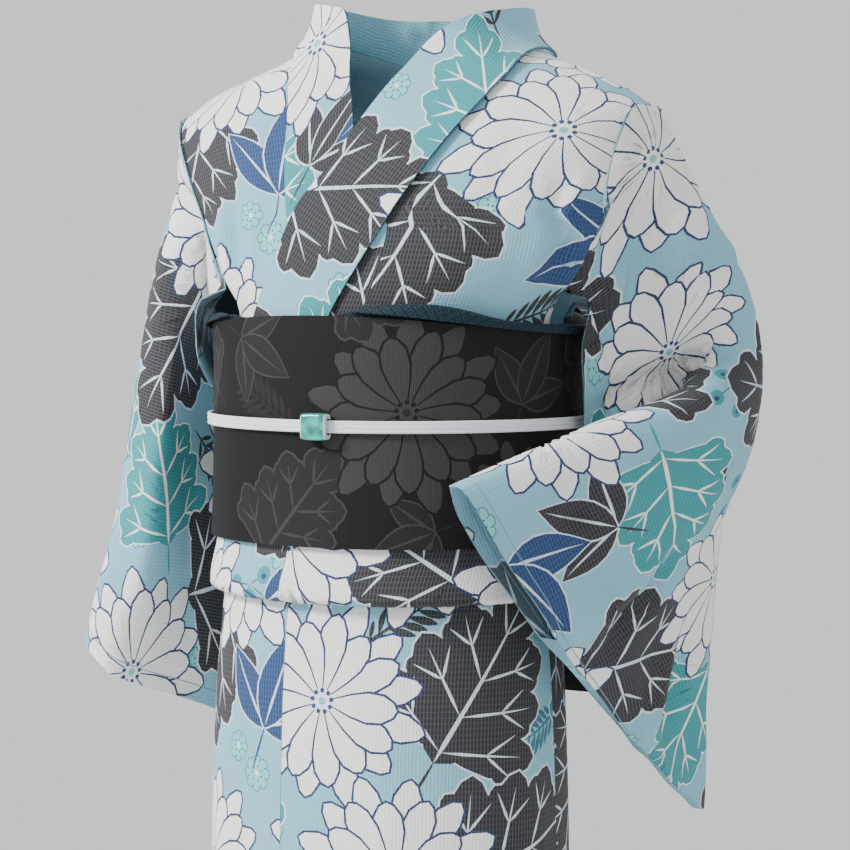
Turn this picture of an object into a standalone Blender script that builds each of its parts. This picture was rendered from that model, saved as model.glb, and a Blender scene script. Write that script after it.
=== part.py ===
"""Cotton yukata robe in its worn form, with its belt set.

Metres, +Z up. The wearer faces -Y and the wearer's left is +X. Height 0 is the
point where the neck meets the shoulder. Each piece that is cut and sewn is one
closed solid with a real wall of cloth.
"""
import bpy
import math
import numpy as np

# ---------------------------------------------------------------- dimensions
CLOTH = 0.0016          # wall of the robe's cotton
COLLAR_WALL = 0.0024    # the collar is folded over on itself
BELT_WALL = 0.0022      # wall of the woven belt
SEAM = 0.0004           # space left between two pieces along a seam
HEM_Z = -1.290          # height of the hem
CORD_Z = -0.290         # height at which the robe is tied, under the belt
FOLD_Z = -0.4135        # centre of the waist fold's lower edge
BELT_TOP = -0.206
BELT_LOW = -0.376
BELT_OFF = 0.0225       # belt's middle surface, out from the worn form
DRUM_WIDTH = 0.300
CUFF_OPEN = 0.50        # share of the cuff edge left open for the hand
BEAD_ANGLE = 3.0        # the bead sits just left of the middle
CORNER = 0.10           # share of the drop taken by the rounded corner
POWER = 2.15            # squareness of the horizontal sections

# worn form, a row for each height: half width, depth of the widest point,
# front face and back face
FORM = np.array([
    # z, side_x, side_y, front_y, back_y
    (-1.290, 0.1360, -0.032, -0.140, 0.080),
    (-0.850, 0.1410, -0.036, -0.144, 0.074),
    (-0.620, 0.1400, -0.038, -0.147, 0.070),
    (-0.510, 0.1365, -0.038, -0.145, 0.071),
    (-0.430, 0.1295, -0.036, -0.141, 0.073),
    (-0.375, 0.1200, -0.033, -0.137, 0.077),
    (-0.300, 0.1190, -0.030, -0.136, 0.079),
    (-0.215, 0.1230, -0.020, -0.136, 0.086),
    (-0.180, 0.1500, -0.012, -0.134, 0.090),
    (-0.140, 0.1800, -0.003, -0.126, 0.094),
    (-0.100, 0.1980, 0.000, -0.112, 0.094),
    (-0.063, 0.2020, 0.000, -0.094, 0.092),
    (-0.040, 0.1760, 0.000, -0.080, 0.089),
    (-0.025, 0.1420, 0.003, -0.068, 0.087),
    (-0.010, 0.1020, 0.005, -0.060, 0.085),
    (0.010, 0.0830, 0.008, -0.055, 0.088),
    (0.040, 0.0740, 0.010, -0.050, 0.093),
])

# edges of the two body panels as angles round the form, from the front towards
# the panel's own side: overlap seam, front side edge, back side edge
PANEL_EDGES = {
    "left": np.array([
        # z, front_in, front_out, back_out
        (-1.290, -12.0, 91.0, 91.0),
        (-0.450, -11.5, 91.0, 91.0),
        (-0.418, -11.0, 91.0, 91.0),
        (-0.375, -8.0, 91.0, 91.0),
        (-0.300, 1.0, 91.0, 92.0),
        (-0.250, 8.0, 89.0, 94.0),
        (-0.205, 13.5, 85.0, 98.0),
        (-0.160, 15.0, 73.0, 108.0),
        (-0.142, 14.5, 71.5, 109.5),
        (-0.130, 11.5, 71.0, 110.0),
    ]),
    "right": np.array([
        (-1.290, -11.0, 91.0, 91.0),
        (-0.450, -11.0, 91.0, 91.0),
        (-0.418, -11.0, 91.0, 91.0),
        (-0.375, -8.0, 91.0, 91.0),
        (-0.300, -2.0, 88.0, 92.0),
        (-0.250, 4.0, 62.0, 108.0),
        (-0.205, 7.5, 41.0, 122.0),
        (-0.160, 9.0, 43.0, 124.0),
        (-0.130, 7.5, 44.0, 122.0),
    ]),
}
# where each panel crosses the shoulder: half widths at the neck and at the arm
SHOULDER = {"left": (0.093, 0.194), "right": (0.087, 0.193)}

# free front edge of each overlap panel, and where it ends at the collar
OVERLAP_EDGE = {
    "left": np.array([
        # z, front_edge
        (-1.290, -76.0),
        (-0.400, -76.0),
        (-0.360, -70.0),
        (-0.330, -59.0),
        (-0.290, -40.0),
        (-0.250, -16.0),
        (-0.205, 1.0),
        (-0.160, 7.0),
        (-0.136, 9.5),
    ]),
    "right": np.array([
        (-1.290, -75.0),
        (-0.400, -75.0),
        (-0.360, -68.0),
        (-0.330, -58.0),
        (-0.290, -43.0),
        (-0.250, -25.0),
        (-0.205, -7.0),
        (-0.160, 1.0),
        (-0.136, 3.5),
    ]),
}

# distance of the cloth's middle from the form up one panel, front hem first:
# the skirt, over the tie, down, round the waist fold, and up the chest; the
# under side is the right panel and all backs, the over side is the left front
FOLD_RUN = [
    # z, under, over
    (HEM_Z, 0.0010, 0.0044),
    (-0.900, 0.0010, 0.0044),
    (-0.640, 0.0010, 0.0044),
    (-0.510, 0.0010, 0.0044),
    (-0.440, 0.0010, 0.0044),
    (-0.370, 0.0010, 0.0044),
    (-0.345, 0.0010, 0.0044),
    (-0.318, 0.0010, 0.0044),
    (CORD_Z, 0.0010, 0.0044),
]
TOP_TURN = (CORD_Z, 0.0061, 0.0051, 0.0017)
LOW_TURN = (FOLD_Z, 0.0129, 0.0017, 0.0051)
CHEST_RUN = [
    (-0.385, 0.0146, 0.0180),
    (-0.345, 0.0146, 0.0180),
    (-0.318, 0.0146, 0.0180),
    (-0.290, 0.0142, 0.0178),
    (-0.270, 0.0120, 0.0164),
    (-0.250, 0.0086, 0.0150),
    (-0.228, 0.0066, 0.0136),
    (-0.205, 0.0047, 0.0122),
    (-0.165, 0.0030, 0.0093),
    (-0.142, 0.0030, 0.0090),
    (-0.130, 0.0030, 0.0090),
]

# the collar: its sewn edge and its free edge at each station, from the belt up
# the left side, round the nape and down the right side; lift is the distance
# from the form, hug is how closely the station follows the form
COLLAR = np.array([
    # sewn x, y, z, free x, y, z, lift, hug
    (-0.006, -0.146, -0.244, -0.064, -0.140, -0.222, 0.0172, 1.0),
    (0.013, -0.141, -0.201, -0.041, -0.136, -0.172, 0.0148, 1.0),
    (0.037, -0.135, -0.159, -0.024, -0.127, -0.124, 0.0130, 1.0),
    (0.055, -0.124, -0.126, -0.004, -0.117, -0.097, 0.0126, 1.0),
    (0.068, -0.115, -0.104, 0.009, -0.105, -0.071, 0.0124, 1.0),
    (0.089, -0.096, -0.069, 0.030, -0.078, -0.031, 0.0110, 0.8),
    (0.104, -0.078, -0.045, 0.042, -0.062, -0.005, 0.0092, 0.4),
    (0.111, -0.055, -0.027, 0.058, -0.040, 0.014, 0.0078, 0.0),
    (0.103, 0.002, -0.012, 0.075, 0.002, 0.024, 0.0084, 0.0),
    (0.092, 0.050, -0.014, 0.066, 0.054, 0.028, 0.0084, 0.0),
    (0.056, 0.086, -0.020, 0.044, 0.094, 0.029, 0.0084, 0.0),
    (0.006, 0.098, -0.024, 0.008, 0.107, 0.028, 0.0084, 0.0),
    (-0.044, 0.088, -0.020, -0.032, 0.096, 0.029, 0.0084, 0.0),
    (-0.080, 0.052, -0.010, -0.054, 0.055, 0.029, 0.0084, 0.0),
    (-0.088, 0.000, -0.005, -0.057, 0.002, 0.029, 0.0084, 0.0),
    (-0.078, -0.052, -0.013, -0.032, -0.050, 0.027, 0.0060, 0.0),
    (-0.070, -0.072, -0.028, -0.023, -0.060, 0.003, 0.0056, 0.3),
    (-0.060, -0.091, -0.051, -0.017, -0.072, -0.020, 0.0054, 0.8),
    (-0.051, -0.110, -0.086, -0.003, -0.092, -0.048, 0.0054, 1.0),
    (-0.042, -0.124, -0.120, 0.009, -0.105, -0.080, 0.0054, 1.0),
    (-0.034, -0.130, -0.145, 0.022, -0.117, -0.110, 0.0054, 1.0),
    (-0.024, -0.136, -0.175, 0.034, -0.128, -0.145, 0.0056, 1.0),
    (-0.012, -0.139, -0.205, 0.046, -0.136, -0.180, 0.0073, 1.0),
    (0.001, -0.142, -0.232, 0.056, -0.137, -0.208, 0.0096, 1.0),
])

# middle surface of each sleeve: a row for each section from the upper arm to
# the cuff, points down the drop, then the half spaces between the two layers
# at the arm and lower down, and the bearing the first layer faces at both
SLEEVES = {
    "left": {
        "rows": [
            # fold xyz, arm xyz, middle xyz, low xyz, bottom xyz,
            # g_arm, g_low, then bearings at the arm, low and at the bottom
            (0.229, 0.015, -0.122, 0.189, 0.036, -0.166, 0.174, 0.036, -0.270,
             0.169, 0.109, -0.420, 0.165, 0.158, -0.577, 0.042, 0.0170, -97, -90, -50),
            (0.246, 0.041, -0.171, 0.219, 0.053, -0.221, 0.186, 0.072, -0.320,
             0.177, 0.109, -0.440, 0.170, 0.161, -0.590, 0.038, 0.0184, -105, -99, -70),
            (0.241, 0.065, -0.214, 0.229, 0.075, -0.272, 0.194, 0.089, -0.355,
             0.185, 0.102, -0.455, 0.175, 0.159, -0.600, 0.028, 0.0237, -135, -111, -112),
            (0.237, 0.032, -0.250, 0.232, 0.048, -0.312, 0.200, 0.070, -0.380,
             0.192, 0.082, -0.470, 0.179, 0.149, -0.604, 0.024, 0.0210, -170, -135, -158),
            (0.191, -0.066, -0.284, 0.203, -0.048, -0.340, 0.198, -0.004, -0.411,
             0.186, 0.052, -0.493, 0.181, 0.112, -0.587, 0.020, 0.006, -192, -192, -192),
            (0.155, -0.125, -0.306, 0.174, -0.104, -0.357, 0.186, -0.057, -0.424,
             0.187, 0.012, -0.499, 0.181, 0.077, -0.568, 0.016, 0.006, -198, -198, -198),
            (0.128, -0.175, -0.325, 0.145, -0.154, -0.371, 0.169, -0.112, -0.432,
             0.178, -0.039, -0.491, 0.177, 0.041, -0.542, 0.012, 0.006, -200, -200, -200),
        ],
        # free edges below the armhole: front layer then back layer
        "furi": [
            (0.167, -0.032, -0.195, 0.158, 0.052, -0.195),
            (0.158, -0.030, -0.236, 0.154, 0.052, -0.236),
            (0.160, -0.018, -0.295, 0.168, 0.072, -0.300),
            (0.165, 0.052, -0.370, 0.165, 0.113, -0.380),
            (0.164, 0.104, -0.460, 0.162, 0.138, -0.465),
            (0.161, 0.148, -0.560, 0.160, 0.160, -0.562),
        ],
        "armhole": (0.194, 0.006, -0.0535),
        # how far out the seam lies: front, back, then out from the shoulder
        "seam": (0.0074, 0.0040, 0.0018),
    },
    "right": {
        "rows": [
            (-0.215, 0.006, -0.117, -0.170, 0.006, -0.128, -0.195, 0.060, -0.255,
             -0.180, 0.120, -0.360, -0.163, 0.175, -0.455, 0.046, 0.010, -90, -75, -75),
            (-0.240, 0.004, -0.193, -0.194, 0.005, -0.205, -0.200, 0.068, -0.305,
             -0.182, 0.128, -0.410, -0.165, 0.185, -0.510, 0.044, 0.007, -88, -70, -70),
            (-0.254, -0.004, -0.282, -0.213, -0.004, -0.295, -0.204, 0.073, -0.375,
             -0.184, 0.135, -0.470, -0.167, 0.195, -0.575, 0.040, 0.006, -84, -65, -65),
            (-0.268, -0.011, -0.370, -0.232, -0.011, -0.383, -0.207, 0.075, -0.450,
             -0.185, 0.138, -0.530, -0.168, 0.200, -0.635, 0.036, 0.006, -80, -62, -62),
            (-0.286, -0.021, -0.440, -0.256, -0.020, -0.455, -0.209, 0.075, -0.505,
             -0.186, 0.140, -0.575, -0.167, 0.205, -0.680, 0.030, 0.006, -76, -60, -60),
            (-0.295, -0.026, -0.477, -0.271, -0.025, -0.499, -0.210, 0.073, -0.548,
             -0.187, 0.140, -0.612, -0.165, 0.205, -0.715, 0.020, 0.006, -72, -60, -60),
        ],
        "furi": [
            (-0.116, -0.126, -0.194, -0.128, 0.110, -0.194),
            (-0.138, -0.100, -0.226, -0.146, 0.090, -0.236),
            (-0.166, -0.040, -0.262, -0.168, 0.098, -0.272),
            (-0.176, 0.040, -0.312, -0.172, 0.120, -0.318),
            (-0.166, 0.120, -0.372, -0.164, 0.140, -0.375),
        ],
        "armhole": (-0.193, 0.006, -0.0535),
        "seam": (0.0066, 0.0066, 0.0036),
    },
}

# drum of the belt: distance behind the belt's back, and height, along the loop
DRUM = [
    # back, z
    (0.0130, -0.262), (0.0135, -0.222), (0.0165, -0.190), (0.0270, -0.176),
    (0.0450, -0.176), (0.0590, -0.190), (0.0640, -0.222), (0.0640, -0.290),
    (0.0610, -0.360), (0.0560, -0.420), (0.0460, -0.440), (0.0300, -0.442),
    (0.0180, -0.425), (0.0155, -0.370), (0.0150, -0.305),
]
TAIL = [(0.0124, -0.335), (0.0128, -0.400), (0.0136, -0.460), (0.0176, -0.512)]
HAND_BACK = 0.0180
HAND_Z = (-0.352, -0.232)

# crest height of the scarf above the belt, by angle from the front
SCARF = np.array([
    (-180.0, -0.193), (-110.0, -0.198), (-60.0, -0.198), (-38.0, -0.199),
    (-26.0, -0.206), (-8.0, -0.209), (6.0, -0.206), (16.0, -0.199),
    (36.0, -0.193), (60.0, -0.198), (110.0, -0.198), (180.0, -0.193),
])


# ------------------------------------------------------------------ geometry
def ease(x, xs, ys):
    """Smooth monotone interpolation of ys over xs; ys may have columns."""
    xs = np.asarray(xs, float)
    ys = np.asarray(ys, float)
    x = np.asarray(x, float)
    flat = ys.reshape(len(xs), -1)
    step = np.diff(xs)[:, None]
    slope = np.diff(flat, axis=0) / step
    tangent = np.zeros_like(flat)
    tangent[0], tangent[-1] = slope[0], slope[-1]
    for i in range(1, len(xs) - 1):
        a, b = slope[i - 1], slope[i]
        wa = 2 * step[i] + step[i - 1]
        wb = step[i] + 2 * step[i - 1]
        same = a * b > 0
        safe_a = np.where(same, a, 1.0)
        safe_b = np.where(same, b, 1.0)
        tangent[i] = np.where(same, (wa + wb) / (wa / safe_a + wb / safe_b), 0.0)
    k = np.clip(np.searchsorted(xs, x.ravel(), side="right") - 1, 0, len(xs) - 2)
    h = step[k]
    t = np.clip((x.ravel()[:, None] - xs[k][:, None]) / h, 0.0, 1.0)
    out = ((2 * t**3 - 3 * t**2 + 1) * flat[k] + (t**3 - 2 * t**2 + t) * h * tangent[k]
           + (-2 * t**3 + 3 * t**2) * flat[k + 1] + (t**3 - t**2) * h * tangent[k + 1])
    return out.reshape(x.shape + ys.shape[1:])


def smooth(a, b, x):
    """0 below a, 1 above b."""
    t = np.clip((np.asarray(x, float) - a) / (b - a), 0.0, 1.0)
    return t * t * (3 - 2 * t)


def unit(v):
    return v / np.maximum(np.linalg.norm(v, axis=-1, keepdims=True), 1e-12)


def form(angle, z):
    """Point of the worn form at an angle from the front (+ is the left side)."""
    angle, z = np.broadcast_arrays(np.radians(angle), np.asarray(z, float))
    side_x, side_y, front_y, back_y = np.moveaxis(ease(z, FORM[:, 0], FORM[:, 1:]), -1, 0)
    s, c = np.sin(angle), np.cos(angle)
    wide = np.sign(s) * np.abs(s) ** (2 / POWER)
    deep = np.abs(c) ** (2 / POWER)
    y = side_y + np.where(c >= 0, front_y - side_y, back_y - side_y) * deep
    return np.stack([side_x * wide, y, z], -1)


def form_level(p):
    """Implicit value of the form: 1 on the surface, more outside it."""
    side_x, side_y, front_y, back_y = np.moveaxis(ease(p[..., 2], FORM[:, 0], FORM[:, 1:]), -1, 0)
    dy = p[..., 1] - side_y
    depth = np.where(dy < 0, side_y - front_y, back_y - side_y)
    return (np.abs(p[..., 0]) / side_x) ** POWER + (np.abs(dy) / depth) ** POWER


def form_normal(p):
    """Outward direction of the form at points on or near it."""
    grad = np.empty(p.shape)
    for axis in range(3):
        shift = np.zeros(3)
        shift[axis] = 0.0015
        grad[..., axis] = form_level(p + shift) - form_level(p - shift)
    return unit(grad)


FORM_GRID = form(*np.meshgrid(np.arange(-180.0, 180.0, 2.5), np.arange(-0.46, 0.041, 0.004)))
FORM_GRID = FORM_GRID.reshape(-1, 3)
FORM_GRID_NORMAL = form_normal(FORM_GRID)


def clear_of_form(points, off, follow=0.0):
    """Move points out to at least off from the form, or to off where follow is 1."""
    shape = points.shape
    flat = points.reshape(-1, 3).copy()
    off = np.broadcast_to(off, shape[:-1]).reshape(-1)
    follow = np.broadcast_to(follow, shape[:-1]).reshape(-1)
    for i, p in enumerate(flat):
        k = np.argmin(((FORM_GRID - p) ** 2).sum(1))
        n = FORM_GRID_NORMAL[k]
        short = off[i] - (p - FORM_GRID[k]) @ n
        flat[i] = p + n * (max(short, 0.0) if short > 0 else short * follow[i])
    return flat.reshape(shape)


def across(front, x, z):
    """Point of the form's front or back half at a given x and height."""
    side_x, side_y, front_y, back_y = np.moveaxis(ease(z, FORM[:, 0], FORM[:, 1:]), -1, 0)
    share = np.clip(np.abs(x) / side_x, 0, 1)
    deep = (1 - share ** POWER) ** (1 / POWER)
    y = side_y + ((front_y if front else back_y) - side_y) * deep
    return np.stack([x, y, z], -1)


def drape(front, start, end, count):
    """Points over the shoulder on the form, from start to the ridge point end."""
    w = 1 - (1 - np.linspace(0, 1, 240)) ** 3
    x = start[0] + (end[0] - start[0]) * w
    z = start[2] + (end[2] - start[2]) * w
    path = across(front, x, z)
    run = np.concatenate([[0], np.cumsum(np.linalg.norm(np.diff(path, axis=0), axis=1))])
    want = np.linspace(0, run[-1], count)
    return np.stack([np.interp(want, run, path[:, k]) for k in range(3)], -1)


def ridge(x):
    """Highest point of the shoulder at a half width."""
    zs = np.linspace(-0.063, 0.035, 400)
    sides = ease(zs, FORM[:, 0], FORM[:, 1])
    z = np.interp(-abs(x), -sides, zs)
    return np.array([x, ease(z, FORM[:, 0], FORM[:, 2]), z])


def grid_normals(grid, wrap=False):
    """Unit normals of a grid of points, rows by columns."""
    along = np.gradient(grid, axis=0)
    if wrap:
        side = np.roll(grid, -1, axis=1) - np.roll(grid, 1, axis=1)
    else:
        side = np.gradient(grid, axis=1)
    return unit(np.cross(side, along))


# ------------------------------------------------------------------- meshing
MATERIALS = {}


def material(name, colour, rough, coat=0.0):
    if name not in MATERIALS:
        mat = bpy.data.materials.new(name)
        mat.use_nodes = True
        shader = mat.node_tree.nodes["Principled BSDF"]
        shader.inputs["Base Color"].default_value = (*colour, 1)
        shader.inputs["Roughness"].default_value = rough
        shader.inputs["Coat Weight"].default_value = coat
        MATERIALS[name] = mat
    return MATERIALS[name]


def add_solid(name, points, faces, mat):
    """Make one closed object, facing outwards."""
    points = np.asarray(points, float)
    volume = 0.0
    for f in faces:
        for k in range(1, len(f) - 1):
            volume += np.dot(points[f[0]], np.cross(points[f[k]], points[f[k + 1]]))
    if volume < 0:
        faces = [f[::-1] for f in faces]
    mesh = bpy.data.meshes.new(name)
    mesh.from_pydata([tuple(p) for p in points], [], [tuple(int(i) for i in f) for f in faces])
    mesh.update()
    mesh.materials.append(mat)
    obj = bpy.data.objects.new(name, mesh)
    bpy.context.collection.objects.link(obj)
    return obj


def quads(rows, cols, start, wrap_rows=False, wrap_cols=False):
    """Faces of a grid of points numbered from start."""
    out = []
    for r in range(rows if wrap_rows else rows - 1):
        for c in range(cols if wrap_cols else cols - 1):
            r2, c2 = (r + 1) % rows, (c + 1) % cols
            out.append((start + r * cols + c, start + r * cols + c2,
                        start + r2 * cols + c2, start + r2 * cols + c))
    return out


def two_faces(outer, wrap_rows=False, wrap_cols=False):
    """Both faces of a wall in triangles, cut along the same diagonals."""
    rows, cols = outer.shape[:2]
    count = rows * cols
    points = outer.reshape(-1, 3)
    faces = []
    for a, b, c, d in quads(rows, cols, 0, wrap_rows, wrap_cols):
        if np.linalg.norm(points[a] - points[c]) <= np.linalg.norm(points[b] - points[d]):
            halves = [(a, b, c), (a, c, d)]
        else:
            halves = [(a, b, d), (b, c, d)]
        faces += halves + [tuple(i + count for i in f[::-1]) for f in halves]
    return faces


def sheet_solid(name, outer, inner, mat):
    """A sheet of cloth from its two faces, closed along its four edges."""
    rows, cols = outer.shape[:2]
    count = rows * cols
    faces = two_faces(outer)
    edge = [(0, c) for c in range(cols)]
    edge += [(r, cols - 1) for r in range(1, rows)]
    edge += [(rows - 1, c) for c in range(cols - 2, -1, -1)]
    edge += [(r, 0) for r in range(rows - 2, 0, -1)]
    ids = [r * cols + c for r, c in edge]
    for a, b in zip(ids, ids[1:] + ids[:1]):
        faces.append((b, a, a + count, b + count))
    points = np.concatenate([outer.reshape(-1, 3), inner.reshape(-1, 3)])
    return add_solid(name, points, faces, mat)


def ring_solid(name, outer, inner, mat):
    """A band closed on itself: rows run round it, columns across it."""
    rows, cols = outer.shape[:2]
    count = rows * cols
    faces = two_faces(outer, wrap_rows=True)
    for r in range(rows):
        r2 = (r + 1) % rows
        for c, flip in ((0, False), (cols - 1, True)):
            a, b = r * cols + c, r2 * cols + c
            face = (a, b, b + count, a + count)
            faces.append(face[::-1] if flip else face)
    points = np.concatenate([outer.reshape(-1, 3), inner.reshape(-1, 3)])
    return add_solid(name, points, faces, mat)


def walls(grid, wall, wrap=False):
    n = grid_normals(grid, wrap)
    return grid + n * wall / 2, grid - n * wall / 2


# -------------------------------------------------------------------- panels
def lam_over(angle, side):
    """1 where the left front lies over the right one, 0 at the left side seam."""
    if side == "right":
        return np.zeros(np.shape(angle))
    return 1 - smooth(74.0, 89.0, angle)


def turn(table, from_under, steps=3):
    """Rows of a fold: centre height, centre offset, under radius, over radius."""
    centre_z, centre_off, under, over = table
    rows = []
    for k in range(steps + 1):
        a = math.pi * k / steps
        z_sign = 1 if from_under else -1
        rows.append((centre_z + z_sign * under * math.sin(a), centre_off - under * math.cos(a),
                     centre_z + z_sign * over * math.sin(a), centre_off - over * math.cos(a)))
    return rows


def profile():
    """Rows up a panel's front: under z, under offset, over z, over offset."""
    rows = [(z, a, z, b) for z, a, b in FOLD_RUN[:-1]]
    rows += turn(TOP_TURN, True)
    for z in (-0.318, -0.345, -0.380):
        rows.append((z, 0.0112, z, 0.0078))
    rows += turn(LOW_TURN, False)
    rows += [(z, a, z, b) for z, a, b in CHEST_RUN]
    return rows


def layered(angle, z_off, side, sign):
    """Cloth points round the form for one row of the profile."""
    lam = lam_over(angle, side)
    z = z_off[0] * (1 - lam) + z_off[2] * lam
    off = z_off[1] * (1 - lam) + z_off[3] * lam
    base = form(sign * angle, z)
    return base + form_normal(base) * off[:, None]


def build_panel(side, mat, cols=9, over_rows=7):
    """One body panel, from the front hem over the shoulder to the back hem."""
    sign = 1 if side == "left" else -1
    edges = PANEL_EDGES[side]
    u = np.linspace(0, 1, cols)
    gap = math.degrees(SEAM / 2 / 0.15)
    rows = []
    prof = profile()
    for row in prof:
        inner, outer, _ = ease(row[0], edges[:, 0], edges[:, 1:])
        rows.append(layered(inner + gap + (outer - 2 * gap - inner) * u, row, side, sign))
    # over the shoulder: each column from the chest to the ridge and down the back
    neck_x, arm_x = SHOULDER[side]
    top_x = neck_x + (arm_x - neck_x) * u
    inner, outer, back_out = ease(-0.130, edges[:, 0], edges[:, 1:])
    front = form(sign * (inner + (outer - inner) * u), np.full(cols, -0.130))
    back_z = -0.026 + (-0.130 + 0.026) * u ** 0.8
    back = form(sign * (180 - gap - (180 - back_out) * u), back_z)
    tops = [ridge(sign * x) for x in top_x]
    up = np.stack([drape(True, front[c], tops[c], over_rows + 1) for c in range(cols)], 1)
    down = np.stack([drape(False, back[c], tops[c], over_rows + 1) for c in range(cols)], 1)
    lam = lam_over(inner + (outer - inner) * u, side)
    for k in range(1, over_rows + 1):
        fade = 1 - smooth(0, 0.75, k / over_rows)
        off = 0.0035 + (0.0055 * lam - 0.0005) * fade
        rows.append(up[k] + form_normal(up[k]) * off[:, None])
    for k in range(over_rows - 1, -1, -1):
        rows.append(down[k] + form_normal(down[k]) * 0.0035)
    # down the back to the belt, the waist fold and the hem
    for z in (-0.165, -0.205):
        share = (z + 0.130) / (-0.205 + 0.130)
        zz = back_z + (-0.205 - back_z) * share
        _, _, outer = ease(z, edges[:, 0], edges[:, 1:])
        base = form(sign * (180 - gap - (180 - outer) * u), zz)
        rows.append(base + form_normal(base) * (0.0035 + 0.0015 * share))
    for row in prof[::-1]:
        if row in [(r[0], r[1], r[0], r[2]) for r in CHEST_RUN[-4:]]:
            continue
        _, _, outer = ease(row[0], edges[:, 0], edges[:, 1:])
        angle = 180 - gap - (180 - gap * 2 - outer) * u
        rows.append(layered(angle, (row[0], row[1], row[0], row[1]), "right", sign))
    grid = np.stack(rows)
    outer, inner = walls(grid, CLOTH)
    return sheet_solid("panel_" + side, outer, inner, mat)


def build_overlap(side, mat, cols=6):
    """One overlap panel, from the hem to its point at the collar."""
    sign = 1 if side == "left" else -1
    edges = PANEL_EDGES[side]
    free = OVERLAP_EDGE[side]
    gap = math.degrees(SEAM / 2 / 0.15)
    u = np.linspace(0, 1, cols)
    rows = []
    for row in profile():
        if row[0] > -0.135:
            row = (-0.136, row[1], -0.136, row[3])
        seam = ease(row[0], edges[:, 0], edges[:, 1]) - gap * (3 if row[0] > -0.40 else 1)
        edge = ease(row[0], free[:, 0], free[:, 1])
        rows.append(layered(edge + (seam - edge) * u, row, side, sign))
    outer, inner = walls(np.stack(rows), CLOTH)
    return sheet_solid("overlap_" + side, outer, inner, mat)


def build_collar(mat, rows=50, cols=4):
    """The collar band, round the neck and down both fronts."""
    run = np.linalg.norm(np.diff(COLLAR[:, :6].reshape(-1, 2, 3).mean(1), axis=0), axis=1)
    run = np.concatenate([[0], np.cumsum(run)])
    table = ease(np.linspace(0, run[-1], rows), run, COLLAR)
    w = np.linspace(0, 1, cols)[None, :, None]
    sewn, free = table[:, None, 0:3], table[:, None, 3:6]
    grid = sewn + (free - sewn) * w
    bow = 4 * w * (1 - w) * 0.0035
    mid = unit(grid.mean(1, keepdims=True) * np.array([1, 1, 0]))
    grid = grid + mid * bow * (1 - table[:, 7][:, None, None])
    lift = table[:, 6][:, None] * np.ones((1, cols))
    follow = table[:, 7][:, None] * np.ones((1, cols))
    grid = clear_of_form(grid, lift, follow)
    outer, inner = walls(grid, COLLAR_WALL)
    return sheet_solid("collar", outer, inner, mat)


# ------------------------------------------------------------------- sleeves
def armhole_loop(side):
    """Sleeve edge at the armhole and below it: front up to the fold, then back."""
    sign = 1 if side == "left" else -1
    edges = PANEL_EDGES[side]
    data = SLEEVES[side]
    reach = data["seam"][2]
    rows = {}
    for name, col in (("front", 2), ("back", 3)):
        z = np.array([-0.184, -0.172, -0.155, -0.130])
        angle = ease(z, edges[:, 0], edges[:, col]) + (1.0 if col == 2 else -1.4)
        p = form(sign * angle, z)
        off = data["seam"][col - 2]
        p = p + form_normal(p) * off
        edge_x = form(sign * ease(-0.130, edges[:, 0], edges[:, col]), -0.130)
        over = drape(col == 2, edge_x, ridge(sign * SHOULDER[side][1]), 6)[1:-1]
        fade = off + (0.0062 - off) * np.linspace(0, 1, len(over))[:, None] ** 0.5
        over = over + form_normal(over) * fade + np.array([sign * reach, 0, 0])
        rows[name] = np.concatenate([p, over])
    furi = np.array(data["furi"])
    front = np.concatenate([furi[::-1, :3], rows["front"]])
    back = np.concatenate([furi[::-1, 3:], rows["back"]])
    top = np.array(data["armhole"]) + np.array([sign * reach, 0, 0.005])
    return np.concatenate([front, top[None], back[::-1]])


def section_loop(row):
    """Sleeve section from its middle points: front layer, fold, back layer."""
    mid = np.array(row[:15]).reshape(5, 3)
    g_arm, g_low, bearing, low_bearing, end_bearing = row[15:]
    down = ease(np.linspace(0, 4, 13), np.arange(5), mid)
    t = np.linspace(0, 1, 13)
    a = np.radians(bearing + (low_bearing - bearing) * smooth(0.35, 0.80, t)
                   + (end_bearing - low_bearing) * smooth(0.78, 0.96, t))
    n = np.stack([np.cos(a), np.sin(a), np.zeros(13)], -1)
    g = np.interp(t, [0, 0.03, 0.12, 0.30, 0.50, 0.75, 0.90, 1.0],
                  [0.35 * g_arm, 0.7 * g_arm, g_arm, g_arm, 0.8 * g_arm + 0.2 * g_low,
                   0.3 * g_arm + 0.7 * g_low, 0.5 * g_low, 0.0026])
    return np.concatenate([(down + n * g[:, None])[::-1], down - n * g[:, None]])


def resample(loop, count, power=1.0):
    """Even points along an open run of points."""
    run = np.concatenate([[0], np.cumsum(np.linalg.norm(np.diff(loop, axis=0), axis=1))])
    return ease(np.linspace(0, 1, count) * run[-1], run, loop)


def square_to(step, along):
    """Way of a step with what runs along an edge taken out of it."""
    along = unit(along)
    return unit(step - along * (step * along).sum(-1, keepdims=True))


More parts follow.
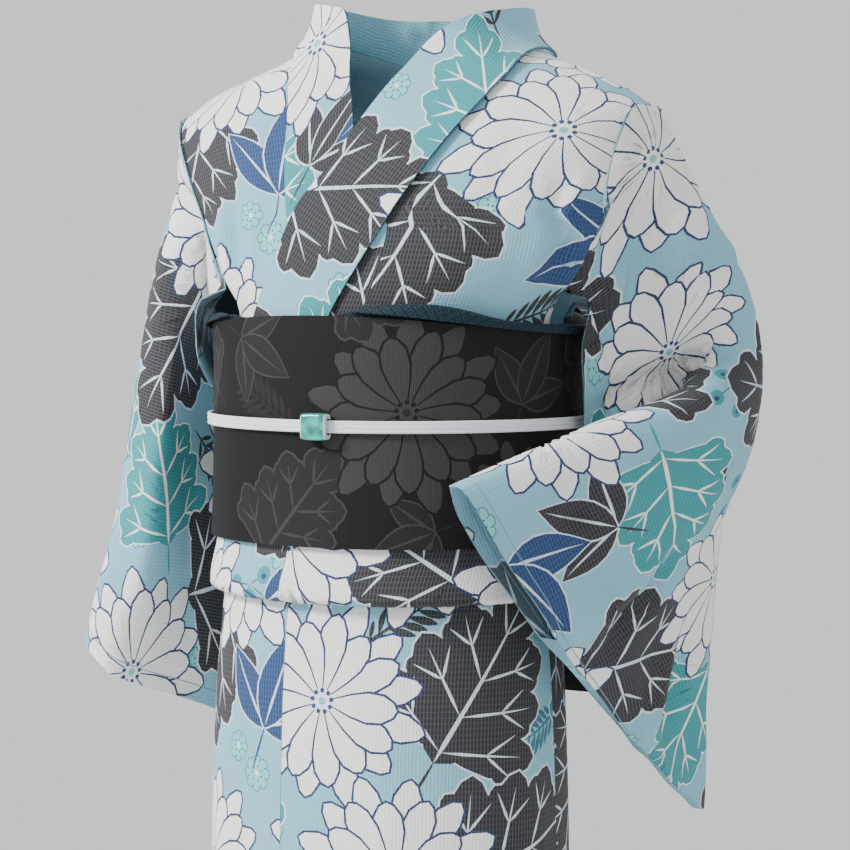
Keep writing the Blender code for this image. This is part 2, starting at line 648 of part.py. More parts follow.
def build_sleeve(side, mat, cols=28, rows=14):
    """A sleeve: open at the armhole, below it, and for the hand at the cuff."""
    data = SLEEVES[side]
    loops = [resample(armhole_loop(side), cols)]
    loops += [resample(section_loop(r), cols) for r in data["rows"]]
    loops = np.stack(loops)
    # round the lower corner of the cuff edge
    mid = loops.mean(1)
    run = np.concatenate([[0], np.cumsum(np.linalg.norm(np.diff(mid, axis=0), axis=1))])
    stations = run[-1] * np.concatenate([np.linspace(0, 0.88, rows - 4), [0.92, 0.955, 0.982, 1.0]])
    grid = ease(stations, run, loops)
    share = np.clip((stations / run[-1] - 0.80) / 0.20, 0, 1)
    cut = CORNER * (1 - np.sqrt(1 - share ** 2))
    for r in range(rows):
        if cut[r] > 0:
            half = cols / 2 - 0.5
            pos = np.abs(np.arange(cols) - half) / half
            sign = np.sign(np.arange(cols) - half)
            pos = half + sign * half * pos * (1 - cut[r])
            grid[r] = ease(pos, np.arange(cols), grid[r])
    n = grid_normals(grid, wrap=True) * (-1 if side == "left" else 1)
    outer, inner = grid + n * CLOTH / 2, grid - n * CLOTH / 2
    first_open = int(cols / 2 * (1 - CUFF_OPEN))
    last_open = cols - 1 - first_open
    # the closed edges, at the bottom and along half of the cuff, are walls too
    shut = np.r_[0:first_open + 1, last_open:cols]
    down = np.gradient(grid[-1], axis=0)[shut]
    cuff_in = square_to(grid[-2, shut] - grid[-1, shut], down)
    bottom = CLOTH * np.clip((rows - 3 - np.arange(rows)) / 2, 0, 1)[:, None]
    for c, other in ((0, 1), (cols - 1, cols - 2)):
        inner[:, c] += bottom * square_to(grid[:, other] - grid[:, c],
                                          np.gradient(grid[:, c], axis=0))
    inner[-1, shut] += CLOTH * cuff_in
    count = rows * cols
    faces = two_faces(outer, wrap_cols=True)
    for c in range(cols):
        c2 = (c + 1) % cols
        faces.append((c2, c, c + count, c2 + count))
    last = (rows - 1) * cols
    for c in range(first_open, last_open):
        a, b = last + c, last + c + 1
        faces.append((a, b, b + count, a + count))
    for c in range(first_open):
        ring = [c, c + 1, cols - 2 - c, cols - 1 - c]
        if np.linalg.norm(outer[-1, ring[0]] - outer[-1, ring[2]]) > \
                np.linalg.norm(outer[-1, ring[1]] - outer[-1, ring[3]]):
            ring = ring[1:] + ring[:1]
        for tri in ((ring[0], ring[1], ring[2]), (ring[0], ring[2], ring[3])):
            faces.append(tuple(last + k for k in tri))
            faces.append(tuple(last + count + k for k in tri[::-1]))
    a, b = last + first_open, last + last_open
    faces.append((b, b + count, a + count, a)[::-1])
    points = np.concatenate([outer.reshape(-1, 3), inner.reshape(-1, 3)])
    return add_solid("sleeve_" + side, points, faces, mat)


# ---------------------------------------------------------------------- belt
def belt_back():
    """How far back the belt reaches, at its own middle surface."""
    return form(180.0, -0.29)[1] + BELT_OFF + BELT_WALL / 2


def build_band(mat, count=48):
    angle = np.arange(count) * 360.0 / count
    z = np.array([BELT_LOW, -0.290, BELT_TOP])
    a, zz = np.meshgrid(angle, z, indexing="ij")
    base = form(a, zz)
    n = form_normal(base)
    out, inn = BELT_OFF + BELT_WALL / 2, BELT_OFF - BELT_WALL / 2
    return ring_solid("obi_band", base + n * out, base + n * inn, mat)


def curve_back(x, back):
    """Depth of a piece behind the belt, bent slightly round the body."""
    return belt_back() + back - 0.30 * x ** 2


def build_strip(name, profile_rows, half, mat, wall=BELT_WALL, cols=7):
    """A piece of belt hanging behind: its section carried across its width."""
    x = np.linspace(-half, half, cols)
    rows = []
    for back, z in profile_rows:
        rows.append(np.stack([x, curve_back(x, back), np.full(cols, z)], -1))
    outer, inner = walls(np.stack(rows), wall)
    return sheet_solid(name, outer, inner, mat)


def cord_path(count=64):
    """Centre line of the cord: round the belt, then through the drum."""
    z = -0.286
    pts = []
    for a in np.linspace(-96, 96, 33):
        base = form(a, z)
        rise = 0.0014 * math.exp(-((a - BEAD_ANGLE) / 9.0) ** 2)
        pts.append(base + form_normal(base) * (BELT_OFF + BELT_WALL / 2 + 0.0028 + rise))
    depth = belt_back() + 0.0218
    right = [(0.152, 0.050), (0.1605, 0.092), (0.162, depth - 0.009), (0.150, depth - 0.001)]
    for x, y in right:
        pts.append(np.array([x, y, z]))
    for x in (0.07, 0.0, -0.07):
        pts.append(np.array([x, depth, z]))
    for x, y in right[::-1]:
        pts.append(np.array([-x, y, z]))
    pts = np.array(pts + [pts[0]])
    run = np.concatenate([[0], np.cumsum(np.linalg.norm(np.diff(pts, axis=0), axis=1))])
    return ease(np.linspace(0, run[-1], count, endpoint=False), run, pts)


def cord_section(high, thick):
    """Flat braid: two shallow grooves along each face."""
    return np.array([
        # out, up
        (thick * 0.30, -high), (thick * 0.92, -high * 0.78), (thick * 0.78, -high * 0.34),
        (thick, 0.0), (thick * 0.78, high * 0.34), (thick * 0.92, high * 0.78),
        (thick * 0.30, high), (-thick * 0.5, high * 0.9), (-thick, high * 0.5),
        (-thick, -high * 0.5), (-thick * 0.5, -high * 0.9),
    ])


def build_cord(mat, count=56):
    path = cord_path(count)
    along = unit(np.roll(path, -1, axis=0) - np.roll(path, 1, axis=0))
    up = np.array([0.0, 0.0, 1.0])
    out = unit(np.cross(along, up))
    section = cord_section(0.0046, 0.0019)
    pts = (path[:, None] + out[:, None] * section[None, :, :1]
           + up * section[None, :, 1:])
    faces = quads(count, len(section), 0, wrap_rows=True, wrap_cols=True)
    return add_solid("obijime", pts.reshape(-1, 3), faces, mat)


def rounded_loop(half_a, half_b, power, count):
    t = np.arange(count) * 2 * math.pi / count
    c, s = np.cos(t), np.sin(t)
    return np.stack([half_a * np.sign(c) * np.abs(c) ** (2 / power),
                     half_b * np.sign(s) * np.abs(s) ** (2 / power)], -1)


def build_bead(mat, angle=BEAD_ANGLE, count=20):
    """Square ceramic slide with a slot for the cord."""
    base = form(angle, -0.286)
    n = form_normal(base)
    centre = base + n * (BELT_OFF + BELT_WALL / 2 + 0.0064)
    side = unit(np.cross(np.array([0, 0, 1.0]), n))
    stations = [(-0.0100, 0.90), (-0.0086, 0.98), (0.0, 1.0), (0.0086, 0.98), (0.0100, 0.90)]
    pts = []
    for x, scale in stations:
        for a, b in rounded_loop(0.0056, 0.0100, 5.0, count) * scale:
            pts.append(centre + side * x + n * a + np.array([0, 0, b]))
    for x, scale in stations[::-1]:
        for a, b in rounded_loop(0.0029, 0.0059, 6.0, count):
            pts.append(centre + side * x * 0.98 + n * (a - 0.0023) + np.array([0, 0, b]))
    faces = quads(len(stations) * 2, count, 0, wrap_rows=True, wrap_cols=True)
    return add_solid("obidome", np.array(pts), faces, mat)


def build_scarf(mat, count=54):
    """Scarf tucked in above the belt: up behind it, rolled over and down."""
    angle = np.arange(count) * 360.0 / count - 180.0
    crest = ease(angle, SCARF[:, 0], SCARF[:, 1])
    roll = smooth(-0.2028, -0.1984, crest)
    rows = []
    for a, top, r in zip(angle, crest, roll):
        flat = [top - 0.006, top - 0.003, top - 0.0015, top]
        over = [top - 0.004, top, top - 0.0035, max(top - 0.010, -0.2030)]
        out = [0.0193 + r * step for step in (0.0006, 0.0036, 0.0069, 0.0079)]
        run = [(-0.226, 0.0193), (top - 0.012, 0.0193)]
        run += [(f + (o - f) * r, d) for f, o, d in zip(flat, over, out)]
        rows.append([form(a, z) + form_normal(form(a, z)) * off for z, off in run])
    grid = np.array(rows)
    n = grid_normals(np.concatenate([grid[-1:], grid, grid[:1]]))[1:-1]
    return ring_solid("obiage", grid + n * 0.0006, grid - n * 0.0006, mat)


# --------------------------------------------------------------------- scene
def main():
    for obj in list(bpy.data.objects):
        bpy.data.objects.remove(obj, do_unlink=True)
    cotton = material("printed_cotton", (0.52, 0.68, 0.72), 0.85)
    weave = material("belt_weave", (0.03, 0.028, 0.03), 0.6)
    scarf = material("scarf_silk", (0.02, 0.13, 0.17), 0.6)
    braid = material("cord_braid", (0.80, 0.80, 0.88), 0.6)
    glaze = material("bead_glaze", (0.10, 0.48, 0.40), 0.12, 1.0)
    for side in ("left", "right"):
        build_panel(side, cotton)
        build_overlap(side, cotton)
        build_sleeve(side, cotton)
    build_collar(cotton)
    build_band(weave)
    build_strip("obi_drum", DRUM, DRUM_WIDTH / 2, weave)
    build_strip("obi_tail", TAIL, DRUM_WIDTH / 2 - 0.004, weave)
    build_strip("obi_hand", [(HAND_BACK, z) for z in np.linspace(*HAND_Z, 3)], 0.153, weave)
    build_scarf(scarf)
    build_cord(braid)
    build_bead(glaze)


main()
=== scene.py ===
"""Cotton yukata robe with its belt set: cloth, print, weave, braid and glaze.

Metres, +Z up. The wearer faces -Y and the wearer's left is +X.
"""
import bpy
import math
import numpy as np
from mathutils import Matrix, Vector
from mathutils.bvhtree import BVHTree
from mathutils.geometry import delaunay_2d_cdt


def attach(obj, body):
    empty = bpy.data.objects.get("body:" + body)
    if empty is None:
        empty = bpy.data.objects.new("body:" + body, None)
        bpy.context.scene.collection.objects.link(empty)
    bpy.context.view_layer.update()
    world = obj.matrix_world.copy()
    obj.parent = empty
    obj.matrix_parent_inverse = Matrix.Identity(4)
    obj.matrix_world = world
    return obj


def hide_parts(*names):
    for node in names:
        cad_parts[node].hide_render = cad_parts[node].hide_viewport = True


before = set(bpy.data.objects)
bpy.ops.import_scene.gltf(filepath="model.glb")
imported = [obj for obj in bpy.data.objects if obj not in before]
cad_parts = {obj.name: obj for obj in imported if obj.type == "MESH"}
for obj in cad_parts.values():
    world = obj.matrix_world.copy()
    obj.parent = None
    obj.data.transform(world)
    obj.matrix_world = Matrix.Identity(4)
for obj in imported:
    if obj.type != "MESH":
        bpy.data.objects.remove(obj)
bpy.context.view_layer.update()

# ---------------------------------------------------------------- dimensions
CLOTH = 0.0016          # wall of the robe's cotton
COLLAR_WALL = 0.0024    # the collar is folded over on itself
COLLAR_BOW = 0.0035     # how far the collar is bowed out across its width
BELT_WALL = 0.0022      # wall of the woven belt
SCARF_WALL = 0.0012
SEAM = 0.0004           # space left between two pieces along a seam
HEM_Z = -1.290          # height of the hem
FLOOR_Z = -1.335
CORD_Z = -0.290         # height at which the robe is tied, under the belt
FOLD_Z = -0.4135        # centre of the waist fold's lower edge
BELT_TOP = -0.206
BELT_LOW = -0.376
BELT_OFF = 0.0225       # belt's middle surface, out from the worn form
SCARF_OFF = 0.0193      # the scarf's, where it is tucked in behind the belt
DRUM_WIDTH = 0.300
CUFF_OPEN = 0.50        # share of the cuff edge left open for the hand
YOKE_Z = -0.130         # height where a panel leaves its front for the shoulder
BRAID_Z = -0.286        # height of the cord's middle
BEAD_ANGLE = 3.0        # the bead sits just left of the middle
BODY_MIDDLE = np.array([0, -0.03, 0])
SIGN = {"left": 1, "right": -1}
CORNER = 0.10           # share of the drop taken by the rounded corner
SLEEVE_END = 0.0026     # half space between a sleeve's layers at its bottom seam
POWER = 2.15            # squareness of the horizontal sections
FEEL = 0.0015           # how far apart the form is felt for its outward direction

# worn form, a row for each height: half width, depth of the widest point,
# front face and back face
FORM = np.array([
    # z, side_x, side_y, front_y, back_y
    (-1.290, 0.1360, -0.032, -0.140, 0.080),
    (-0.850, 0.1410, -0.036, -0.144, 0.074),
    (-0.620, 0.1400, -0.038, -0.147, 0.070),
    (-0.510, 0.1365, -0.038, -0.145, 0.071),
    (-0.430, 0.1295, -0.036, -0.141, 0.073),
    (-0.375, 0.1200, -0.033, -0.137, 0.077),
    (-0.300, 0.1190, -0.030, -0.136, 0.079),
    (-0.215, 0.1230, -0.020, -0.136, 0.086),
    (-0.180, 0.1500, -0.012, -0.134, 0.090),
    (-0.140, 0.1800, -0.003, -0.126, 0.094),
    (-0.100, 0.1980, 0.000, -0.112, 0.094),
    (-0.063, 0.2020, 0.000, -0.094, 0.092),
    (-0.040, 0.1760, 0.000, -0.080, 0.089),
    (-0.025, 0.1420, 0.003, -0.068, 0.087),
    (-0.010, 0.1020, 0.005, -0.060, 0.085),
    (0.010, 0.0830, 0.008, -0.055, 0.088),
    (0.040, 0.0740, 0.010, -0.050, 0.093),
])

# edges of the two body panels as angles round the form, from the front towards
# the panel's own side: overlap seam, front side edge, back side edge
PANEL_EDGES = {
    "left": np.array([
        # z, front_in, front_out, back_out
        (-1.290, -12.0, 91.0, 91.0),
        (-0.450, -11.5, 91.0, 91.0),
        (-0.418, -11.0, 91.0, 91.0),
        (-0.375, -8.0, 91.0, 91.0),
        (-0.300, 1.0, 91.0, 92.0),
        (-0.250, 8.0, 89.0, 94.0),
        (-0.205, 13.5, 85.0, 98.0),
        (-0.160, 15.0, 73.0, 108.0),
        (-0.142, 14.5, 71.5, 109.5),
        (-0.130, 11.5, 71.0, 110.0),
    ]),
    "right": np.array([
        (-1.290, -11.0, 91.0, 91.0),
        (-0.450, -11.0, 91.0, 91.0),
        (-0.418, -11.0, 91.0, 91.0),
        (-0.375, -8.0, 91.0, 91.0),
        (-0.300, -2.0, 88.0, 92.0),
        (-0.250, 4.0, 62.0, 108.0),
        (-0.205, 7.5, 41.0, 122.0),
        (-0.160, 9.0, 43.0, 124.0),
        (-0.130, 7.5, 44.0, 122.0),
    ]),
}
# where each panel crosses the shoulder: half widths at the neck and at the arm
SHOULDER = {"left": (0.093, 0.194), "right": (0.087, 0.193)}

# free front edge of each overlap panel, and where it ends at the collar
OVERLAP_EDGE = {
    "left": np.array([
        # z, front_edge
        (-1.290, -76.0),
        (-0.400, -76.0),
        (-0.360, -70.0),
        (-0.330, -59.0),
        (-0.290, -40.0),
        (-0.250, -16.0),
        (-0.205, 1.0),
        (-0.160, 7.0),
        (-0.136, 9.5),
    ]),
    "right": np.array([
        (-1.290, -75.0),
        (-0.400, -75.0),
        (-0.360, -68.0),
        (-0.330, -58.0),
        (-0.290, -43.0),
        (-0.250, -25.0),
        (-0.205, -7.0),
        (-0.160, 1.0),
        (-0.136, 3.5),
    ]),
}

# distance of the cloth's middle from the form up one panel, front hem first:
# the skirt, over the tie, down, round the waist fold, and up the chest; the
# under side is the right panel and all backs, the over side is the left front
SKIRT_OFF = (0.0010, 0.0044)
SKIRT_RUN = [HEM_Z, -0.900, -0.640, -0.510, -0.440, -0.370, -0.345, -0.318]
# each turn: height and offset of its centre, then the radius under and over
TOP_TURN = (CORD_Z, 0.0061, 0.0051, 0.0017)
LOW_TURN = (FOLD_Z, 0.0129, 0.0017, 0.0051)
DOWN_OFF = (0.0112, 0.0078)
DOWN_RUN = [-0.318, -0.345, -0.380]
CHEST_RUN = [
    # z, under, over
    (-0.385, 0.0146, 0.0180),
    (-0.345, 0.0146, 0.0180),
    (-0.318, 0.0146, 0.0180),
    (-0.290, 0.0142, 0.0178),
    (-0.270, 0.0120, 0.0164),
    (-0.250, 0.0086, 0.0150),
    (-0.228, 0.0066, 0.0136),
    (-0.205, 0.0047, 0.0122),
    (-0.165, 0.0030, 0.0093),
    (-0.142, 0.0030, 0.0090),
    (-0.130, 0.0030, 0.0090),
]

# the collar: its sewn edge and its free edge at each station, from the belt up
# the left side, round the nape and down the right side; lift is the distance
# from the form, hug is how closely the station follows the form
COLLAR = np.array([
    # sewn x, y, z, free x, y, z, lift, hug
    (-0.006, -0.146, -0.244, -0.064, -0.140, -0.222, 0.0172, 1.0),
    (0.013, -0.141, -0.201, -0.041, -0.136, -0.172, 0.0148, 1.0),
    (0.037, -0.135, -0.159, -0.024, -0.127, -0.124, 0.0130, 1.0),
    (0.055, -0.124, -0.126, -0.004, -0.117, -0.097, 0.0126, 1.0),
    (0.068, -0.115, -0.104, 0.009, -0.105, -0.071, 0.0124, 1.0),
    (0.089, -0.096, -0.069, 0.030, -0.078, -0.031, 0.0110, 0.8),
    (0.104, -0.078, -0.045, 0.042, -0.062, -0.005, 0.0092, 0.4),
    (0.111, -0.055, -0.027, 0.058, -0.040, 0.014, 0.0078, 0.0),
    (0.103, 0.002, -0.012, 0.075, 0.002, 0.024, 0.0084, 0.0),
    (0.092, 0.050, -0.014, 0.066, 0.054, 0.028, 0.0084, 0.0),
    (0.056, 0.086, -0.020, 0.044, 0.094, 0.029, 0.0084, 0.0),
    (0.006, 0.098, -0.024, 0.008, 0.107, 0.028, 0.0084, 0.0),
    (-0.044, 0.088, -0.020, -0.032, 0.096, 0.029, 0.0084, 0.0),
    (-0.080, 0.052, -0.010, -0.054, 0.055, 0.029, 0.0084, 0.0),
    (-0.088, 0.000, -0.005, -0.057, 0.002, 0.029, 0.0084, 0.0),
    (-0.078, -0.052, -0.013, -0.032, -0.050, 0.027, 0.0060, 0.0),
    (-0.070, -0.072, -0.028, -0.023, -0.060, 0.003, 0.0056, 0.3),
    (-0.060, -0.091, -0.051, -0.017, -0.072, -0.020, 0.0054, 0.8),
    (-0.051, -0.110, -0.086, -0.003, -0.092, -0.048, 0.0054, 1.0),
    (-0.042, -0.124, -0.120, 0.009, -0.105, -0.080, 0.0054, 1.0),
    (-0.034, -0.130, -0.145, 0.022, -0.117, -0.110, 0.0054, 1.0),
    (-0.024, -0.136, -0.175, 0.034, -0.128, -0.145, 0.0056, 1.0),
    (-0.012, -0.139, -0.205, 0.046, -0.136, -0.180, 0.0073, 1.0),
    (0.001, -0.142, -0.232, 0.056, -0.137, -0.208, 0.0096, 1.0),
])

# middle surface of each sleeve: a row for each section from the upper arm to
# the cuff, points down the drop, then the half spaces between the two layers
# at the arm and lower down, and the bearing the first layer faces at both
SLEEVES = {
    "left": {
        "rows": [
            # fold xyz, arm xyz, middle xyz, low xyz, bottom xyz,
            # g_arm, g_low, then bearings at the arm, low and at the bottom
            (0.229, 0.015, -0.122, 0.189, 0.036, -0.166, 0.174, 0.036, -0.270,
             0.169, 0.109, -0.420, 0.165, 0.158, -0.577, 0.042, 0.0170, -97, -90, -50),
            (0.246, 0.041, -0.171, 0.219, 0.053, -0.221, 0.186, 0.072, -0.320,
             0.177, 0.109, -0.440, 0.170, 0.161, -0.590, 0.038, 0.0184, -105, -99, -70),
            (0.241, 0.065, -0.214, 0.229, 0.075, -0.272, 0.194, 0.089, -0.355,
             0.185, 0.102, -0.455, 0.175, 0.159, -0.600, 0.028, 0.0237, -135, -111, -112),
            (0.237, 0.032, -0.250, 0.232, 0.048, -0.312, 0.200, 0.070, -0.380,
             0.192, 0.082, -0.470, 0.179, 0.149, -0.604, 0.024, 0.0210, -170, -135, -158),
            (0.191, -0.066, -0.284, 0.203, -0.048, -0.340, 0.198, -0.004, -0.411,
             0.186, 0.052, -0.493, 0.181, 0.112, -0.587, 0.020, 0.006, -192, -192, -192),
            (0.155, -0.125, -0.306, 0.174, -0.104, -0.357, 0.186, -0.057, -0.424,
             0.187, 0.012, -0.499, 0.181, 0.077, -0.568, 0.016, 0.006, -198, -198, -198),
            (0.128, -0.175, -0.325, 0.145, -0.154, -0.371, 0.169, -0.112, -0.432,
             0.178, -0.039, -0.491, 0.177, 0.041, -0.542, 0.012, 0.006, -200, -200, -200),
        ],
        # free edges below the armhole: front layer then back layer
        "furi": [
            (0.167, -0.032, -0.195, 0.158, 0.052, -0.195),
            (0.158, -0.030, -0.236, 0.154, 0.052, -0.236),
            (0.160, -0.018, -0.295, 0.168, 0.072, -0.300),
            (0.165, 0.052, -0.370, 0.165, 0.113, -0.380),
            (0.164, 0.104, -0.460, 0.162, 0.138, -0.465),
            (0.161, 0.148, -0.560, 0.160, 0.160, -0.562),
        ],
        "armhole": (0.194, 0.006, -0.0535),
        # how far out the seam lies: front, back, then out from the shoulder
        "seam": (0.0074, 0.0040, 0.0018),
    },
    "right": {
        "rows": [
            (-0.215, 0.006, -0.117, -0.170, 0.006, -0.128, -0.195, 0.060, -0.255,
             -0.180, 0.120, -0.360, -0.163, 0.175, -0.455, 0.046, 0.010, -90, -75, -75),
            (-0.240, 0.004, -0.193, -0.194, 0.005, -0.205, -0.200, 0.068, -0.305,
             -0.182, 0.128, -0.410, -0.165, 0.185, -0.510, 0.044, 0.007, -88, -70, -70),
            (-0.254, -0.004, -0.282, -0.213, -0.004, -0.295, -0.204, 0.073, -0.375,
             -0.184, 0.135, -0.470, -0.167, 0.195, -0.575, 0.040, 0.006, -84, -65, -65),
            (-0.268, -0.011, -0.370, -0.232, -0.011, -0.383, -0.207, 0.075, -0.450,
             -0.185, 0.138, -0.530, -0.168, 0.200, -0.635, 0.036, 0.006, -80, -62, -62),
            (-0.286, -0.021, -0.440, -0.256, -0.020, -0.455, -0.209, 0.075, -0.505,
             -0.186, 0.140, -0.575, -0.167, 0.205, -0.680, 0.030, 0.006, -76, -60, -60),
            (-0.295, -0.026, -0.477, -0.271, -0.025, -0.499, -0.210, 0.073, -0.548,
             -0.187, 0.140, -0.612, -0.165, 0.205, -0.715, 0.020, 0.006, -72, -60, -60),
        ],
        "furi": [
            (-0.116, -0.126, -0.194, -0.128, 0.110, -0.194),
            (-0.138, -0.100, -0.226, -0.146, 0.090, -0.236),
            (-0.166, -0.040, -0.262, -0.168, 0.098, -0.272),
            (-0.176, 0.040, -0.312, -0.172, 0.120, -0.318),
            (-0.166, 0.120, -0.372, -0.164, 0.140, -0.375),
        ],
        "armhole": (-0.193, 0.006, -0.0535),
        "seam": (0.0066, 0.0066, 0.0036),
    },
}

# the armhole seam of both sleeves: heights below the shoulder, degrees past the
# panel's edge in front and behind, distance from the form there and at the top,
# and how far the seam is drawn out and up to the panel
ARMHOLE = {
    "heights": (-0.184, -0.172, -0.155, YOKE_Z), "past front": 0.25, "past back": -0.3,
    "off": 0.0050, "top off": 0.0062, "reach": 0.0006, "lift": 0.005,
}

# drum of the belt: distance behind the belt's back, and height, along the loop
DRUM = [
    # back, z
    (0.0130, -0.262), (0.0135, -0.222), (0.0165, -0.190), (0.0270, -0.176),
    (0.0450, -0.176), (0.0590, -0.190), (0.0640, -0.222), (0.0640, -0.290),
    (0.0610, -0.360), (0.0560, -0.420), (0.0460, -0.440), (0.0300, -0.442),
    (0.0180, -0.425), (0.0155, -0.370), (0.0150, -0.305),
]
TAIL = [(0.0124, -0.335), (0.0128, -0.400), (0.0136, -0.460), (0.0176, -0.512)]
HAND_BACK = 0.0180
HAND_Z = (-0.352, -0.232)

# crest height of the scarf above the belt, by angle from the front
SCARF = np.array([
    (-180.0, -0.193), (-110.0, -0.198), (-60.0, -0.198), (-38.0, -0.199),
    (-26.0, -0.206), (-8.0, -0.209), (6.0, -0.206), (16.0, -0.199),
    (36.0, -0.193), (60.0, -0.198), (110.0, -0.198), (180.0, -0.193),
])



# ------------------------------------------------------------------ geometry
def ease(x, xs, ys):
    """Smooth monotone interpolation of ys over xs; ys may have columns."""
    xs = np.asarray(xs, float)
    ys = np.asarray(ys, float)
    x = np.asarray(x, float)
    flat = ys.reshape(len(xs), -1)
    step = np.diff(xs)[:, None]
    slope = np.diff(flat, axis=0) / step
    tangent = np.zeros_like(flat)
    tangent[0], tangent[-1] = slope[0], slope[-1]
    for i in range(1, len(xs) - 1):
        a, b = slope[i - 1], slope[i]
        wa = 2 * step[i] + step[i - 1]
        wb = step[i] + 2 * step[i - 1]
        same = a * b > 0
        safe_a = np.where(same, a, 1.0)
        safe_b = np.where(same, b, 1.0)
        tangent[i] = np.where(same, (wa + wb) / (wa / safe_a + wb / safe_b), 0.0)
    k = np.clip(np.searchsorted(xs, x.ravel(), side="right") - 1, 0, len(xs) - 2)
    h = step[k]
    t = np.clip((x.ravel()[:, None] - xs[k][:, None]) / h, 0.0, 1.0)
    out = ((2 * t**3 - 3 * t**2 + 1) * flat[k] + (t**3 - 2 * t**2 + t) * h * tangent[k]
           + (-2 * t**3 + 3 * t**2) * flat[k + 1] + (t**3 - t**2) * h * tangent[k + 1])
    return out.reshape(x.shape + ys.shape[1:])


def smooth(a, b, x):
    """0 below a, 1 above b."""
    t = np.clip((np.asarray(x, float) - a) / (b - a), 0.0, 1.0)
    return t * t * (3 - 2 * t)


def unit(v):
    return v / np.maximum(np.linalg.norm(v, axis=-1, keepdims=True), 1e-12)


def run_along(points):
    """Distance of each point along the run of them."""
    return np.concatenate([[0], np.cumsum(np.linalg.norm(np.diff(points, axis=0), axis=1))])


def form_sizes(z):
    """Half width, depth of the widest point, front face and back face at a height."""
    return np.moveaxis(ease(z, FORM[:, 0], FORM[:, 1:]), -1, 0)


def form(angle, z):
    """Point of the worn form at an angle from the front (+ is the left side)."""
    angle, z = np.broadcast_arrays(np.radians(angle), np.asarray(z, float))
    side_x, side_y, front_y, back_y = form_sizes(z)
    s, c = np.sin(angle), np.cos(angle)
    wide = np.sign(s) * np.abs(s) ** (2 / POWER)
    deep = np.abs(c) ** (2 / POWER)
    y = side_y + np.where(c >= 0, front_y - side_y, back_y - side_y) * deep
    return np.stack([side_x * wide, y, z], -1)


def form_level(p):
    """Implicit value of the form: 1 on the surface, more outside it."""
    side_x, side_y, front_y, back_y = form_sizes(p[..., 2])
    dy = p[..., 1] - side_y
    depth = np.where(dy < 0, side_y - front_y, back_y - side_y)
    return (np.abs(p[..., 0]) / side_x) ** POWER + (np.abs(dy) / depth) ** POWER


def form_normal(p):
    """Outward direction of the form at points on or near it."""
    grad = np.empty(p.shape)
    for axis in range(3):
        shift = np.zeros(3)
        shift[axis] = FEEL
        grad[..., axis] = form_level(p + shift) - form_level(p - shift)
    return unit(grad)


def off_form(p, off):
    """Points of the form moved out from it."""
    return p + form_normal(p) * off


# the form from the hips to the nape, closely spaced
NEAR_FORM = form(*np.meshgrid(np.arange(-180.0, 180.0, 2.5), np.arange(-0.46, 0.041, 0.004)))
NEAR_FORM = NEAR_FORM.reshape(-1, 3)
NEAR_NORMAL = form_normal(NEAR_FORM)
BELT_BACK = form(180.0, CORD_Z)[1] + BELT_OFF + BELT_WALL / 2


def clear_of_form(points, off, follow):
    """Move points out to at least off from the form, or to off where follow is 1."""
    moved = points.reshape(-1, 3).copy()
    off = np.broadcast_to(off, points.shape[:-1]).reshape(-1)
    follow = np.broadcast_to(follow, points.shape[:-1]).reshape(-1)
    for i, p in enumerate(moved):
        k = np.argmin(((NEAR_FORM - p) ** 2).sum(1))
        n = NEAR_NORMAL[k]
        short = off[i] - (p - NEAR_FORM[k]) @ n
        moved[i] = p + n * (short if short > 0 else short * follow[i])
    return moved.reshape(points.shape)


def across(front, x, z):
    """Point of the form's front or back half at a given x and height."""
    side_x, side_y, front_y, back_y = form_sizes(z)
    share = np.clip(np.abs(x) / side_x, 0, 1)
    deep = (1 - share ** POWER) ** (1 / POWER)
    y = side_y + ((front_y if front else back_y) - side_y) * deep
    return np.stack([x, y, z], -1)


def drape(front, start, end, count):
    """Points over the shoulder on the form, from start to the ridge point end."""
    w = 1 - (1 - np.linspace(0, 1, 240)) ** 3
    x = start[0] + (end[0] - start[0]) * w
    z = start[2] + (end[2] - start[2]) * w
    path = across(front, x, z)
    run = run_along(path)
    want = np.linspace(0, run[-1], count)
    return np.stack([np.interp(want, run, path[:, k]) for k in range(3)], -1)


def ridge(x):
    """Highest point of the shoulder at a half width."""
    zs = np.linspace(-0.063, 0.035, 400)
    sides = ease(zs, FORM[:, 0], FORM[:, 1])
    z = np.interp(-abs(x), -sides, zs)
    return np.array([x, ease(z, FORM[:, 0], FORM[:, 2]), z])


def grid_normals(grid, wrap=False):
    """Unit normals of a grid of points, rows by columns."""
    along = np.gradient(grid, axis=0)
    if wrap:
        side = np.roll(grid, -1, axis=1) - np.roll(grid, 1, axis=1)
    else:
        side = np.gradient(grid, axis=1)
    return unit(np.cross(side, along))


def over_share(angle, side):
    """1 where the left front lies over the right one, 0 at the left side seam."""
    if side == "right":
        return np.zeros(np.shape(angle))
    return 1 - smooth(74.0, 89.0, angle)


def turn(table, from_under, steps=8):
    """Rows of a fold: centre height, centre offset, under radius, over radius."""
    centre_z, centre_off, under, over = table
    rows = []
    for k in range(steps + 1):
        a = math.pi * k / steps
        z_sign = 1 if from_under else -1
        rows.append((centre_z + z_sign * under * math.sin(a), centre_off - under * math.cos(a),
                     centre_z + z_sign * over * math.sin(a), centre_off - over * math.cos(a)))
    return rows


def profile():
    """Rows up a panel's front: under z, under offset, over z, over offset."""
    rows = [(z, SKIRT_OFF[0], z, SKIRT_OFF[1]) for z in SKIRT_RUN]
    rows += turn(TOP_TURN, True)
    rows += [(z, DOWN_OFF[0], z, DOWN_OFF[1]) for z in DOWN_RUN]
    rows += turn(LOW_TURN, False)
    rows += [(z, a, z, b) for z, a, b in CHEST_RUN]
    return rows


